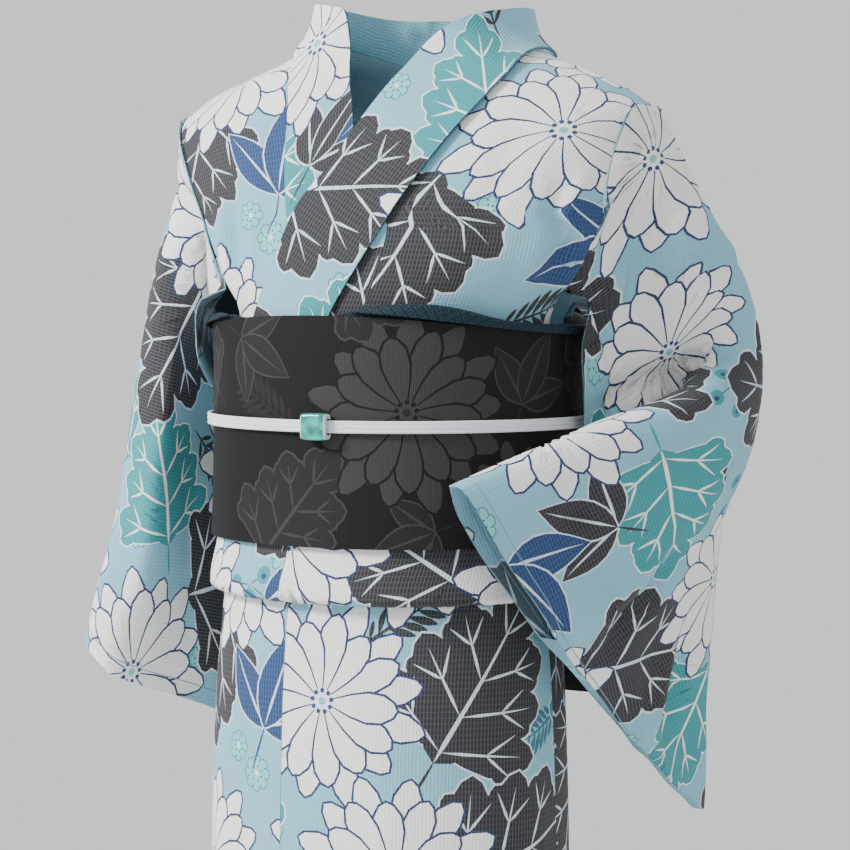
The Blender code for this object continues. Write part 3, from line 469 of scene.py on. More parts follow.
def layered(angle, row, side, sign):
    """Cloth points round the form for one row of the profile."""
    over = over_share(angle, side)
    z = row[0] * (1 - over) + row[2] * over
    off = row[1] * (1 - over) + row[3] * over
    return off_form(form(sign * angle, z), off[:, None])


def armhole_loop(side):
    """Sleeve edge at the armhole and below it: front up to the fold, then back."""
    sign = SIGN[side]
    edges = PANEL_EDGES[side]
    data = SLEEVES[side]
    furi = np.array(data["furi"])
    z = np.array(ARMHOLE["heights"])
    halves = []
    for half, (col, past) in enumerate(((2, ARMHOLE["past front"]), (3, ARMHOLE["past back"]))):
        off = min(data["seam"][half], ARMHOLE["off"])
        side_edge = off_form(form(sign * (ease(z, edges[:, 0], edges[:, col]) + past), z), off)
        start = form(sign * ease(YOKE_Z, edges[:, 0], edges[:, col]), YOKE_Z)
        over = drape(half == 0, start, ridge(sign * SHOULDER[side][1]), 6)[1:-1]
        rise = off + (ARMHOLE["top off"] - off) * np.linspace(0, 1, len(over))[:, None] ** 0.5
        over = off_form(over, rise) + np.array([sign * ARMHOLE["reach"], 0, 0])
        halves.append(np.concatenate([furi[::-1, 3 * half:3 * half + 3], side_edge, over]))
    top = np.array(data["armhole"]) + np.array([sign * ARMHOLE["reach"], 0, ARMHOLE["lift"]])
    return np.concatenate([halves[0], top[None], halves[1][::-1]])


def section_loop(row):
    """Sleeve section from its middle points: front layer, fold, back layer."""
    mid = np.array(row[:15]).reshape(5, 3)
    g_arm, g_low, bearing, low_bearing, end_bearing = row[15:]
    t = np.linspace(0, 1, 13)
    down = ease(np.linspace(0, 4, 13), np.arange(5), mid)
    a = np.radians(bearing + (low_bearing - bearing) * smooth(0.35, 0.80, t)
                   + (end_bearing - low_bearing) * smooth(0.78, 0.96, t))
    n = np.stack([np.cos(a), np.sin(a), np.zeros(len(t))], -1)
    # the two layers part below the fold, lie closer lower down and meet at the end
    g = np.interp(t, [0, 0.03, 0.12, 0.30, 0.50, 0.75, 0.90, 1.0],
                  [0.35 * g_arm, 0.7 * g_arm, g_arm, g_arm, 0.8 * g_arm + 0.2 * g_low,
                   0.3 * g_arm + 0.7 * g_low, 0.5 * g_low, SLEEVE_END])
    return np.concatenate([(down + n * g[:, None])[::-1], down - n * g[:, None]])


def resample(loop, count):
    """Even points along an open run of points."""
    run = run_along(loop)
    return ease(np.linspace(0, 1, count) * run[-1], run, loop)


def every_nth(count, step):
    """Every so many of a count of rows, and the last."""
    return np.unique(np.append(np.arange(0, count, step), count - 1))


# --------------------------------------------------------------- cloth sheets
def refine(grid, step):
    """More rows between those of a grid of points, at most step apart."""
    gaps = np.linalg.norm(np.diff(grid, axis=0), axis=2).mean(1)
    run = np.concatenate([[0], np.cumsum(gaps)])
    stations = [np.linspace(a, b, int(math.ceil((b - a) / step)), endpoint=False)
                for a, b in zip(run, run[1:])]
    return ease(np.concatenate(stations + [run[-1:]]), run, grid)


def lay_straight(grid):
    """Flat place of each point of a sheet whose first column is its straight edge."""
    down = np.linalg.norm(np.diff(grid, axis=0), axis=2).mean(1)
    side = np.linalg.norm(np.diff(grid, axis=1), axis=2)
    along = np.concatenate([[0], np.cumsum(down)])
    across_run = np.concatenate([np.zeros((len(grid), 1)), np.cumsum(side, axis=1)], axis=1)
    return np.stack([across_run, np.repeat(along[:, None], grid.shape[1], 1)], -1)


LINKS = ((np.s_[:-1, :], np.s_[1:, :]), (np.s_[:, :-1], np.s_[:, 1:]),
         (np.s_[:-1, :-1], np.s_[1:, 1:]), (np.s_[:-1, 1:], np.s_[1:, :-1]))


def relax(flat, grid, rounds):
    """Take the stretch out of a sheet laid flat."""
    flat = flat.copy()
    rest = [np.linalg.norm(grid[b] - grid[a], axis=2) for a, b in LINKS]
    for _ in range(rounds):
        push = np.zeros(flat.shape)
        count = np.zeros(flat.shape[:2] + (1,))
        for (a, b), want in zip(LINKS, rest):
            gap = flat[b] - flat[a]
            size = np.maximum(np.linalg.norm(gap, axis=2), 1e-9)
            move = gap * ((1 - want / size) * 0.5)[..., None]
            push[a] += move
            push[b] -= move
            count[a] += 1
            count[b] += 1
        flat += push / count * 1.3
    return flat


def folded_over(flat, grid, floor=0.3):
    """Squares of a flat layout that are turned over or nearly closed."""
    squares = [(x[:-1, :-1], x[:-1, 1:], x[1:, 1:], x[1:, :-1]) for x in (flat, grid)]
    out = np.zeros((len(flat) - 1, flat.shape[1] - 1), bool)
    for a, b, c in ((0, 1, 2), (0, 2, 3), (0, 1, 3), (1, 2, 3)):
        p, q, r = (squares[0][k] for k in (a, b, c))
        laid = (q - p)[..., 0] * (r - p)[..., 1] - (q - p)[..., 1] * (r - p)[..., 0]
        p, q, r = (squares[1][k] for k in (a, b, c))
        out |= laid < floor * np.linalg.norm(np.cross(q - p, r - p), axis=-1)
    return out


def unfold(flat, grid, spread, rounds=300):
    """Even out the spots round squares that are turned over until none is."""
    flat = flat.copy()
    last_row, last_col = len(flat) - 1, flat.shape[1] - 1
    for _ in range(rounds):
        r, c = np.nonzero(folded_over(flat, grid))
        if not len(r):
            break
        soft = np.zeros(flat.shape[:2], bool)
        for dr in range(-spread, spread + 2):
            for dc in range(-spread, spread + 2):
                soft[np.clip(r + dr, 0, last_row), np.clip(c + dc, 0, last_col)] = True
        even = flat.copy()
        even[1:-1, 1:-1] = (flat[:-2, 1:-1] + flat[2:, 1:-1] + flat[1:-1, :-2] + flat[1:-1, 2:]) / 4
        for end in (0, -1):
            even[end, 1:-1] = (flat[end, :-2] + flat[end, 2:]) / 2
            even[1:-1, end] = (flat[:-2, end] + flat[2:, end]) / 2
        flat[soft] = 0.5 * (flat[soft] + even[soft])
    return flat


def lay_flat(grid, every=3):
    """Flat place of each point of a curved sheet, rows along its length."""
    rows, cols = grid.shape[:2]
    r, c = every_nth(rows, every), every_nth(cols, every)
    rough = grid[np.ix_(r, c)]
    flat = lay_straight(rough)
    flat[..., 0] -= flat[:, [len(c) // 2], 0]
    for _ in range(30):
        flat = unfold(relax(flat, rough, 40), rough, 1)
    flat = ease(np.arange(rows), r, flat)
    flat = ease(np.arange(cols), c, flat.transpose(1, 0, 2)).transpose(1, 0, 2)
    for _ in range(6):
        flat = unfold(relax(flat, grid, 15), grid, 2)
    return flat


def creased(grid, flat, creases, wrap=False):
    """Push soft troughs and ridges into a sheet.

    Each crease is its half width, its height (below 0 is a trough) and the spots
    that it runs through, in the sheet's own flat sizes. It fades to its ends.
    """
    lift = np.zeros(grid.shape[:2])
    for half, height, *spots in creases:
        line = np.array(spots)
        run = run_along(line)
        best = np.full(lift.shape, np.inf)
        share = np.zeros(lift.shape)
        for a, b, start in zip(line, line[1:], run):
            way = b - a
            k = np.clip(((flat - a) @ way) / (way @ way), 0, 1)
            away = np.linalg.norm(flat - a - k[..., None] * way, axis=2)
            nearer = away < best
            best[nearer] = away[nearer]
            share[nearer] = (start + k[nearer] * np.linalg.norm(way)) / run[-1]
        fade = smooth(-0.25, 0.35, share) * smooth(-0.25, 0.35, 1 - share)
        lift += height * np.exp(-(best / half) ** 2) * fade
    return grid + grid_normals(grid, wrap) * lift[..., None]


def facing_out(grid, flat, middle=None):
    """Order the columns so that the sheet's printed face looks away from its middle."""
    if middle is None:
        middle = grid * np.array([0, 0, 1]) + BODY_MIDDLE
    if (grid_normals(grid) * (grid - middle)).sum() < 0:
        return grid[:, ::-1], flat[:, ::-1]
    return grid, flat


def quads(rows, cols, wrap=False):
    """Faces of a grid of points."""
    out = []
    for r in range(rows if wrap else rows - 1):
        for c in range(cols if wrap else cols - 1):
            r2, c2 = (r + 1) % rows, (c + 1) % cols
            out.append((r * cols + c, r * cols + c2, r2 * cols + c2, r2 * cols + c))
    return out


def joined(parts):
    """One list of points and one of faces from several."""
    faces, start = [], 0
    for points, part_faces, *_ in parts:
        faces += [tuple(i + start for i in face) for face in part_faces]
        start += len(points)
    return np.concatenate([part[0] for part in parts]), faces


def placed(name, data):
    """A new object in the scene."""
    obj = bpy.data.objects.new(name, data)
    bpy.context.collection.objects.link(obj)
    return obj


def new_mesh(name, points, faces, mat, places, normals=None):
    """A smooth mesh whose points know their place on the piece laid flat."""
    mesh = bpy.data.meshes.new(name)
    mesh.from_pydata(np.asarray(points).tolist(), [], faces)
    mesh.polygons.foreach_set("use_smooth", np.ones(len(mesh.polygons), bool))
    mesh.update()
    if normals is not None:
        mesh.normals_split_custom_set_from_vertices(normals.tolist())
    mesh.materials.append(mat)
    attribute = mesh.attributes.new("flat", "FLOAT_VECTOR", "POINT")
    attribute.data.foreach_set("vector", np.asarray(places, np.float32).ravel())
    return placed(name, mesh)


def stroke(line, width):
    """Outline of a narrow line along some points."""
    way = unit(np.gradient(line, axis=0))
    side = np.stack([-way[:, 1], way[:, 0]], -1) * width / 2
    return np.concatenate([line - side, (line + side)[::-1]])


def rim_of(rows, cols, spots):
    """Numbers of a grid's points round its edge, left about where it lies flat."""
    rim = [(0, c) for c in range(cols)] + [(r, cols - 1) for r in range(1, rows)]
    rim += [(rows - 1, c) for c in range(cols - 2, -1, -1)]
    rim += [(r, 0) for r in range(rows - 2, 0, -1)]
    rim = [r * cols + c for r, c in rim]
    (x, y), (x2, y2) = spots[rim].T, np.roll(spots[rim], -1, axis=0).T
    return rim if (x * y2 - x2 * y).sum() >= 0 else rim[::-1]


def cut_print(spots, rim, shapes):
    """Cut a print's outlines into a sheet that lies flat.

    Gives the place of each corner, the number of the sheet's own point that it
    is, or -1, the triangles, and the number of the last outline over each: 0 is
    the sheet itself.
    """
    outlines, points, total = [rim], [spots], len(spots)
    for shape in shapes:
        outlines.append(list(range(total, total + len(shape))))
        points.append(shape)
        total += len(shape)
    # the cutting works in millimetres, so that its tolerance is a fine one
    corners = [Vector(p) for p in np.concatenate(points) * 1000]
    verts, _, tris, origins, _, owners = delaunay_2d_cdt(corners, [], outlines, 0, 1e-4, True)
    inside = [k for k, own in enumerate(owners) if 0 in own]
    used = np.unique([tris[k] for k in inside])
    number = -np.ones(len(verts), int)
    number[used] = np.arange(len(used))
    places = np.array([verts[k][:] for k in used]) / 1000
    own = [next((i for i in origins[k] if i < len(spots)), -1) for k in used]
    faces = [tuple(number[list(tris[k])].tolist()) for k in inside]
    return places, own, faces, [max(owners[k]) for k in inside]


def place_finder(grid, flat):
    """A way to find the sheet's place in space from a place on it laid flat."""
    rows, cols = grid.shape[:2]
    tris = []
    for a, b, c, d in quads(rows, cols):
        tris += [(a, b, c), (a, c, d)]
    spots = np.concatenate([flat.reshape(-1, 2), np.zeros((rows * cols, 1))], 1)
    tree = BVHTree.FromPolygons(spots.tolist(), tris)

    def find(spot, *fields):
        _, _, k, _ = tree.find_nearest((spot[0], spot[1], 0.0))
        ids = list(tris[k])
        (x0, y0), (x1, y1), (x2, y2) = spots[ids, :2]
        area = (x1 - x0) * (y2 - y0) - (x2 - x0) * (y1 - y0)
        u = ((spot[0] - x0) * (y2 - y0) - (x2 - x0) * (spot[1] - y0)) / area
        v = ((x1 - x0) * (spot[1] - y0) - (spot[0] - x0) * (y1 - y0)) / area
        return [f[ids[0]] * (1 - u - v) + f[ids[1]] * u + f[ids[2]] * v for f in fields]

    return find


def plain_back(grid, n, flat, wall):
    """The back of a sheet where its print doesn't come through, at every other point."""
    r, c = every_nth(len(grid), 2), every_nth(grid.shape[1], 2)
    sparse = np.ix_(r, c)
    away = n[sparse].reshape(-1, 3)
    spin = np.cross(grid[1:, :-1] - grid[:-1, :-1], grid[:-1, 1:] - grid[:-1, :-1])
    kept = (spin * n[:-1, :-1]).sum() > 0
    faces = [f if kept else f[::-1] for f in quads(len(r), len(c))]
    return grid[sparse].reshape(-1, 3) - away * wall / 2, faces, -away, flat[sparse].reshape(-1, 2)


def cut_edge(where, away, places, edges, turn_over, wall):
    """The thickness of a sheet along its free edges."""
    ids = sorted({i for edge in edges for i in edge})
    at = {i: k for k, i in enumerate(ids)}
    count = len(ids)
    faces = [(at[b], at[a], at[a] + count, at[b] + count) for a, b in edges]
    if turn_over:
        faces = [f[::-1] for f in faces]
    half = away[ids] * wall / 2
    return (np.concatenate([where[ids] + half, where[ids] - half]), faces,
            np.concatenate([away[ids], -away[ids]]), np.concatenate([places[ids]] * 2))


def seam_strip(points, normals, spots, one, two, wall):
    """A strip between two runs of points of a sheet, facing out."""
    a = points[one] + normals[one] * wall / 2
    b = points[two] + normals[two] * wall / 2
    out = unit(normals[one] + normals[two])
    step = np.gradient(points[one], axis=0)
    sides = [a, b] if (np.cross(step, b - a) * out).sum() > 0 else [b, a]
    return (np.concatenate(sides), quads(2, len(one)), np.concatenate([out, out]),
            np.concatenate([spots[one], spots[two]]))


def cloth(name, grid, flat, mat, motifs, wall=CLOTH, ground="ground", back="back",
          wrap=False, place=(0.0, 0.0), both=False, lines=(), seams=()):
    """A sheet of printed cloth: its printed face, its back and its edges.

    The place is where it is cut from the bolt. Where both is set, the print comes
    through paler on the back. Lines are narrow outlines in the sheet's own flat
    sizes, and seams are pairs of runs of its points that a strip joins.
    """
    rows, cols = grid.shape[:2]
    n = grid_normals(grid, wrap)
    points, normals, spots = grid.reshape(-1, 3), n.reshape(-1, 3), flat.reshape(-1, 2)
    low, high = spots.min(0), spots.max(0)
    moved = [(outline - np.array(place), ink) for outline, ink in motifs]
    shapes = [(o, ink) for o, ink in moved
              if (o.max(0) >= low).all() and (o.min(0) <= high).all()] + list(lines)
    inks = [ground] + [ink for _, ink in shapes]
    places, own, faces, top = cut_print(spots, rim_of(rows, cols, spots), [o for o, _ in shapes])
    # the sheet in space at every corner of the print
    find = place_finder(grid, flat)
    where, away = np.zeros((2, len(places), 3))
    for k, i in enumerate(own):
        where[k], away[k] = find(places[k], points, normals) if i < 0 else (points[i], normals[i])
    away = unit(away)
    edges = dict.fromkeys((a, b) for f in faces for a, b in zip(f, f[1:] + f[:1]))
    free = [(a, b) for a, b in edges if (b, a) not in edges]
    a, b, c = np.array(faces).T
    turn_over = (np.cross(where[b] - where[a], where[c] - where[a]) * away[a]).sum() < 0
    if turn_over:
        faces = [f[::-1] for f in faces]
    half = away * wall / 2
    parts = [(where + half, faces, away, places)]
    dyes = [INKS[inks[k]] for k in top]
    if both:
        parts.append((where - half, [f[::-1] for f in faces], -away, places))
        dyes += [paler(dye) for dye in dyes]
    else:
        parts.append(plain_back(grid, n, flat, wall))
        dyes += [INKS[back]] * len(parts[-1][1])
    parts.append(cut_edge(where, away, places, free, turn_over, wall))
    parts += [seam_strip(points, normals, spots, one, two, wall) for one, two in seams]
    dyes += [INKS[ground]] * sum(len(part[1]) for part in parts[2:])
    flat_places = np.concatenate([part[3] for part in parts])
    flat_places = np.concatenate([flat_places, np.zeros((len(flat_places), 1))], 1)
    ways = np.concatenate([part[2] for part in parts])
    obj = new_mesh(name, *joined(parts), mat, flat_places, ways)
    ink = obj.data.attributes.new("ink", "FLOAT_COLOR", "FACE")
    ink.data.foreach_set("color", np.array(dyes, np.float32).ravel())
    return obj


# -------------------------------------------------------------------- motifs
def srgb(red, green, blue):
    """Linear colour of one mixed on a screen."""
    values = np.array([red, green, blue]) / 255
    linear = np.where(values > 0.04045, ((values + 0.055) / 1.055) ** 2.4, values / 12.92)
    return tuple(linear) + (1.0,)


INKS = {
    "ground": srgb(126, 182, 200),
    "back": srgb(146, 186, 200),
    "white": srgb(238, 238, 234),
    "blue line": srgb(18, 36, 86),
    "blue": srgb(6, 54, 104),
    "dark": srgb(31, 27, 32),
    "halo": srgb(206, 216, 228),
    "teal": srgb(36, 140, 146),
    "pale teal": srgb(120, 196, 198),
    "deep teal": srgb(24, 104, 118),
    "sash": srgb(14, 12, 13),
    "sash back": srgb(15, 14, 15),
    "sash grey": srgb(52, 49, 50),
    "sash mid": srgb(30, 27, 28),
    # the seam ink is painted shade: a darker line along each hem's turned-in edge
    "seam": srgb(104, 144, 162),
    "plain": (0.5, 0.5, 0.5, 1.0),
}
LINE = 0.0019           # width of a printed line


def paler(dye):
    """A dye as it shows through on the inside."""
    return tuple(0.82 * c + 0.18 * g for c, g in zip(dye, INKS["back"]))


def oval(length, width, peak=0.5, count=9, full=0.8):
    """Outline of a petal or leaf lying along +x from the origin."""
    t = (1 - np.cos(np.linspace(0, np.pi, count))) / 2
    bend = math.log(0.5) / math.log(peak)
    half = width / 2 * np.sin(np.pi * t ** bend) ** full
    lower = np.stack([t * length, -half], -1)
    upper = np.stack([t * length, half], -1)[-2:0:-1]
    return np.concatenate([lower, upper])


def put(outline, at, angle, lean=1.0, lean_angle=0.0):
    """Turn an outline, squash it along one bearing and move it to its place."""
    c, s = math.cos(angle), math.sin(angle)
    o = outline @ np.array([[c, s], [-s, c]])
    if lean != 1.0:
        d = np.array([math.cos(lean_angle), math.sin(lean_angle)])
        o = o - np.outer(o @ d, d) * (1 - lean)
    return o + np.array(at)


def shifted(outline, x, y=0.0):
    return outline + np.array([x, y])


def disc(radius, count=8, x=0.0, y=0.0):
    a = np.arange(count) * 2 * math.pi / count
    return np.stack([x + radius * np.cos(a), y + radius * np.sin(a)], -1)


def polar(radius, angle):
    return radius * math.cos(angle), radius * math.sin(angle)


def daisy(radius, petals=13):
    """Two rings of long petals, outlined, round a ring of dots."""
    out = []
    for ring, reach in ((0, 1.0), (1, 0.80)):
        for k in range(petals):
            a = 2 * math.pi * (k + 0.5 * ring) / petals + 0.06 * math.sin(7 * k + ring)
            size = radius * reach * (1 + 0.06 * math.sin(3.3 * k + 2 * ring))
            wide = 2 * math.pi * radius / petals * 0.66
            out.append((put(oval(size, wide, 0.68, 8, 0.56), (0, 0), a), "blue line"))
            fill = shifted(oval(size - 2 * LINE, wide - 2 * LINE, 0.68, 8, 0.56), LINE)
            out.append((put(fill, (0, 0), a), "white"))
            if ring == 0:
                vein = shifted(oval(size * 0.44, LINE * 0.8, 0.3, 3), size * 0.24, wide * 0.12)
                out.append((put(vein, (0, 0), a), "blue line"))
    out.append((disc(radius * 0.12, 10), "white"))
    for k in range(9):
        a = 2 * math.pi * k / 9
        out.append((disc(radius * 0.022 + 0.0004, 5, *polar(radius * 0.10, a)), "blue"))
    out.append((disc(radius * 0.042, 7), "pale teal"))
    return out


def fingers(length, pairs=3):
    """Lobes of a leaf: place along the midrib, angle, length, width."""
    out = [(0.46 * length, 0.0, 0.54 * length, 0.26 * length)]
    for k in range(pairs):
        x = length * (0.08 + 0.19 * k)
        size = length * (0.50 - 0.05 * k)
        for side in (-1, 1):
            a = side * math.radians(66 - 9 * k)
            out.append((x, a, size, 0.22 * length))
    tips = []
    for x, a, size, wide in out:
        base = np.array([x, 0.0])
        mid = base + np.array(polar(size * 0.45, a))
        for turn_by in (-0.62, 0.62):
            tips.append((mid, a + turn_by, size * 0.44, wide * 0.62))
        tips.append((base, a, size, wide))
    return tips


def lobed_leaf(length, fill, halo="halo", vein="halo", rim=0.0017):
    """A broad leaf cut into rounded lobes, edged and veined in a pale line."""
    lobes = fingers(length)
    out = []
    for grow, ink in ((rim, halo), (0.0, fill)):
        for base, a, size, wide in lobes:
            o = shifted(oval(size + 2 * grow, wide + 2 * grow, 0.62, 7, 0.62), -grow)
            out.append((put(o, base, a), ink))
        out.append((shifted(oval(length * 0.84, length * 0.46, 0.46, 8, 0.7), length * 0.02), ink))
    for base, a, size, _ in lobes:
        out.append((put(oval(size * 0.84, LINE * 1.25, 0.25, 4), base, a), vein))
    out.append((oval(length * 0.86, LINE * 1.9, 0.2, 5), vein))
    out.append((shifted(oval(length * 0.22, 0.0026, 0.5, 5), -length * 0.18), fill))
    return out


def three_leaves(length, fill, halo="halo"):
    """Three pointed leaves from one stalk."""
    out = []
    rim = 0.0015
    for a, size in ((-0.95, 0.86), (0.95, 0.86), (0.0, 1.0)):
        long, wide = length * size, length * size * 0.46
        edge = shifted(oval(long + 2 * rim, wide + 2 * rim, 0.42, 11, 1.0), -rim)
        for o, ink in ((edge, halo), (oval(long, wide, 0.42, 11, 1.0), fill),
                       (oval(long * 0.92, LINE * 1.3, 0.3, 4), halo)):
            out.append((put(o, (0, 0), a), ink))
    out.append((shifted(oval(length * 0.5, 0.0024, 0.5, 5), -length * 0.46), fill))
    return out


def fern(length, ink):
    """A spray of narrow leaflets."""
    out = [(oval(length, 0.0026, 0.3, 6), ink)]
    for k in range(8):
        x = length * (0.16 + 0.10 * k)
        size = length * 0.30 * math.sin(math.pi * (0.22 + 0.075 * k))
        for side in (-1, 1):
            out.append((put(oval(size, size * 0.26, 0.55, 7), (x, 0), side * 0.85), ink))
    return out


def blossom(radius):
    """A small round flower with a dotted heart."""
    out = []
    for k in range(8):
        a = 2 * math.pi * k / 8
        out.append((disc(radius * 0.36, 8, *polar(radius * 0.66, a)), "deep teal"))
        out.append((disc(radius * 0.36 - 0.0008, 8, *polar(radius * 0.66, a)), "pale teal"))
    out.append((disc(radius * 0.62, 12), "pale teal"))
    for k in range(7):
        out.append((disc(0.0009, 5, *polar(radius * 0.40, 2 * math.pi * k / 7)), "blue"))
    out.append((disc(radius * 0.16, 6), "white"))
    return out


def berries(size):
    """Round fruit in a loose bunch on fine stalks."""
    bunch = ((1.0, 0.1), (0.86, 0.95), (1.05, -0.8), (0.62, 1.9), (0.55, -1.8), (0.35, 0.3))
    out = [(put(oval(size * reach, 0.0012, 0.5, 4), (0, 0), a), "dark") for reach, a in bunch]
    for reach, a in bunch:
        x, y = polar(size * reach, a)
        out.append((disc(size * 0.25, 10, x, y), "teal"))
        out.append((disc(size * 0.09, 6, x + size * 0.03, y), "blue"))
    return out


# each kind of motif: what draws it, its settings, and how far its middle lies
# from where it is drawn, as a share of its size
MOTIFS = {
    "daisy": (daisy, (), 0.0),
    "small daisy": (daisy, (11,), 0.0),
    "dark leaf": (lobed_leaf, ("dark",), 0.45),
    "teal leaf": (lobed_leaf, ("teal", "white", "white", 0.0012), 0.45),
    "blue three": (three_leaves, ("blue",), 0.45),
    "dark three": (three_leaves, ("dark",), 0.45),
    "fern": (fern, ("dark",), 0.45),
    "teal fern": (fern, ("deep teal",), 0.45),
    "blossom": (blossom, (), 0.0),
    "berries": (berries, (), 0.0),
}


def drawn(kind, size):
    """Outlines of one motif about its own middle."""
    draw, settings, middle = MOTIFS[kind]
    return [(shifted(o, -middle * size), ink) for o, ink in draw(size, *settings)]


# one repeat of the print on the bolt, from the back of the design to the front
BOLT_WIDTH = 0.37
REPEAT = 0.84
MARGIN = 0.2            # how far past the ends of a cloth a motif's middle may lie
PRINT = [
    # kind, across, along, size, turn, lean
    ("fern", 0.120, 0.120, 0.080, 35, 1.0),
    ("fern", 0.345, 0.165, 0.085, 110, 1.0),
    ("fern", 0.050, 0.330, 0.080, 250, 1.0),
    ("fern", 0.235, 0.475, 0.085, 160, 1.0),
    ("fern", 0.160, 0.620, 0.080, 20, 1.0),
    ("fern", 0.320, 0.720, 0.085, 300, 1.0),
    ("teal fern", 0.250, 0.040, 0.070, 200, 1.0),
    ("teal fern", 0.030, 0.520, 0.070, 60, 1.0),
    ("blossom", 0.245, 0.115, 0.014, 0, 1.0),
    ("blossom", 0.225, 0.250, 0.014, 0, 1.0),
    ("blossom", 0.248, 0.268, 0.012, 0, 1.0),
    ("blossom", 0.100, 0.370, 0.013, 0, 1.0),
    ("blossom", 0.350, 0.420, 0.013, 0, 1.0),
    ("blossom", 0.190, 0.500, 0.013, 0, 1.0),
    ("blossom", 0.165, 0.515, 0.012, 0, 1.0),
    ("blossom", 0.110, 0.700, 0.012, 0, 1.0),
    ("blossom", 0.200, 0.715, 0.014, 0, 1.0),
    ("blossom", 0.020, 0.800, 0.013, 0, 1.0),
    ("berries", 0.345, 0.255, 0.028, 40, 1.0),
    ("berries", 0.015, 0.360, 0.028, 160, 1.0),
    ("berries", 0.300, 0.515, 0.030, 80, 1.0),
    ("berries", 0.230, 0.690, 0.028, 250, 1.0),
    ("teal leaf", 0.310, 0.040, 0.130, 120, 1.0),
    ("teal leaf", 0.080, 0.320, 0.130, 80, 1.0),
    ("teal leaf", 0.100, 0.555, 0.135, 40, 1.0),
    ("teal leaf", 0.345, 0.785, 0.125, 160, 1.0),
    ("dark leaf", 0.185, 0.075, 0.155, 60, 1.0),
    ("dark leaf", 0.010, 0.180, 0.150, 200, 1.0),
    ("dark leaf", 0.310, 0.320, 0.155, 300, 1.0),
    ("dark leaf", 0.140, 0.435, 0.150, 150, 1.0),
    ("dark leaf", 0.040, 0.665, 0.155, 250, 1.0),
    ("dark leaf", 0.230, 0.790, 0.155, 20, 1.0),
    ("dark three", 0.345, 0.555, 0.075, 260, 1.0),
    ("dark three", 0.150, 0.285, 0.068, 320, 1.0),
    ("blue three", 0.205, 0.320, 0.082, 110, 1.0),
    ("blue three", 0.180, 0.665, 0.080, 200, 1.0),
    ("daisy", 0.065, 0.060, 0.080, 10, 1.0),
    ("daisy", 0.130, 0.195, 0.082, 40, 0.92),
    ("daisy", 0.290, 0.175, 0.074, 70, 1.0),
    ("daisy", 0.030, 0.450, 0.082, 75, 0.95),
    ("daisy", 0.250, 0.415, 0.086, 15, 0.9),
    ("small daisy", 0.225, 0.575, 0.066, 0, 1.0),
    ("daisy", 0.310, 0.655, 0.084, 20, 1.0),
    ("daisy", 0.125, 0.770, 0.082, 50, 0.94),
]


def repeated(table, length, width, repeat, lean_angle=0.0):
    """Every motif of a table on a run of cloth: its rank, size, place and outlines."""
    for rank, (kind, s, t, size, turn_by, lean) in enumerate(table):
        shapes = drawn(kind, size)
        for k in range(-1, int(math.ceil(length / repeat)) + 1):
            for j in (-1, 0, 1):
                at = (s + j * width, t + k * repeat)
                if -MARGIN <= at[1] <= length + MARGIN:
                    laid = [(put(o, at, math.radians(turn_by), lean, lean_angle), ink)
                            for o, ink in shapes]
                    yield rank, kind, 0.55 * size * lean, at, laid


def bolt_print(length):
    """Every motif on a run of the bolt, without what the daisies' hearts cover."""
    motifs = list(repeated(PRINT, length, BOLT_WIDTH, REPEAT, 0.9))
    hearts = np.array([(rank, *at, heart) for rank, kind, heart, at, _ in motifs
                       if kind.endswith("daisy")])
    out = []
    for rank, _, _, _, laid in motifs:
        over = hearts[hearts[:, 0] > rank]
        for o, ink in laid:
            far = np.linalg.norm(o[None] - over[:, None, 1:3], axis=2).max(1)
            if not (far < over[:, 3]).any():
                out.append((o, ink))
    return out


SASH_INKS = {"white": "sash grey", "blue line": "sash", "blue": "sash",
             "pale teal": "sash mid", "halo": "sash grey", "dark": "sash mid"}
SASH_PRINT = [
    # kind, across, along, size, turn, lean
    ("fern", 0.120, 0.040, 0.075, 300, 1.0),
    ("fern", 0.030, 0.215, 0.070, 100, 1.0),
    ("fern", 0.240, 0.210, 0.075, 200, 1.0),
    ("dark three", 0.160, 0.030, 0.055, 120, 1.0),
    ("dark three", 0.150, 0.250, 0.058, 20, 1.0),
    ("dark three", 0.025, 0.150, 0.050, 250, 1.0),
    ("dark leaf", 0.045, 0.060, 0.110, 40, 1.0),
    ("daisy", 0.120, 0.150, 0.075, 0, 1.0),
    ("dark leaf", 0.060, 0.300, 0.105, 160, 1.0),
    ("small daisy", 0.050, 0.235, 0.048, 20, 1.0),
    ("dark leaf", 0.150, 0.330, 0.095, 300, 1.0),
    ("daisy", 0.255, 0.290, 0.070, 30, 1.0),
    ("dark leaf", 0.225, 0.130, 0.110, 80, 1.0),
    ("small daisy", 0.270, 0.060, 0.050, 50, 1.0),
]
SASH_WIDTH = 0.30
SASH_REPEAT = 0.40


def sash_print(length):
    """Every woven motif on a run of the belt."""
    return [(o, SASH_INKS.get(ink, ink))
            for *_, laid in repeated(SASH_PRINT, length, SASH_WIDTH, SASH_REPEAT)
            for o, ink in laid]


# -------------------------------------------------------------- cloth shapes
GAP = math.degrees(SEAM / 2 / 0.15)     # half a seam's space, as an angle
NAPE_Z = -0.026         # top of a panel at the middle of the back
BACK_Z = -0.205         # height behind where the panel is round the body again
YOKE_ROWS = 4           # rows of the chest run that the yoke stands in for behind
SHOULDER_OFF = 0.0035   # distance of the shoulder's cloth from the form
OVERLAP_TOP = -0.135    # above this an overlap panel has closed to its point
OVERLAP_END = -0.136
PANEL_STEP = 0.012
OVERLAP_STEP = 0.010
BELT_STEP = 0.008


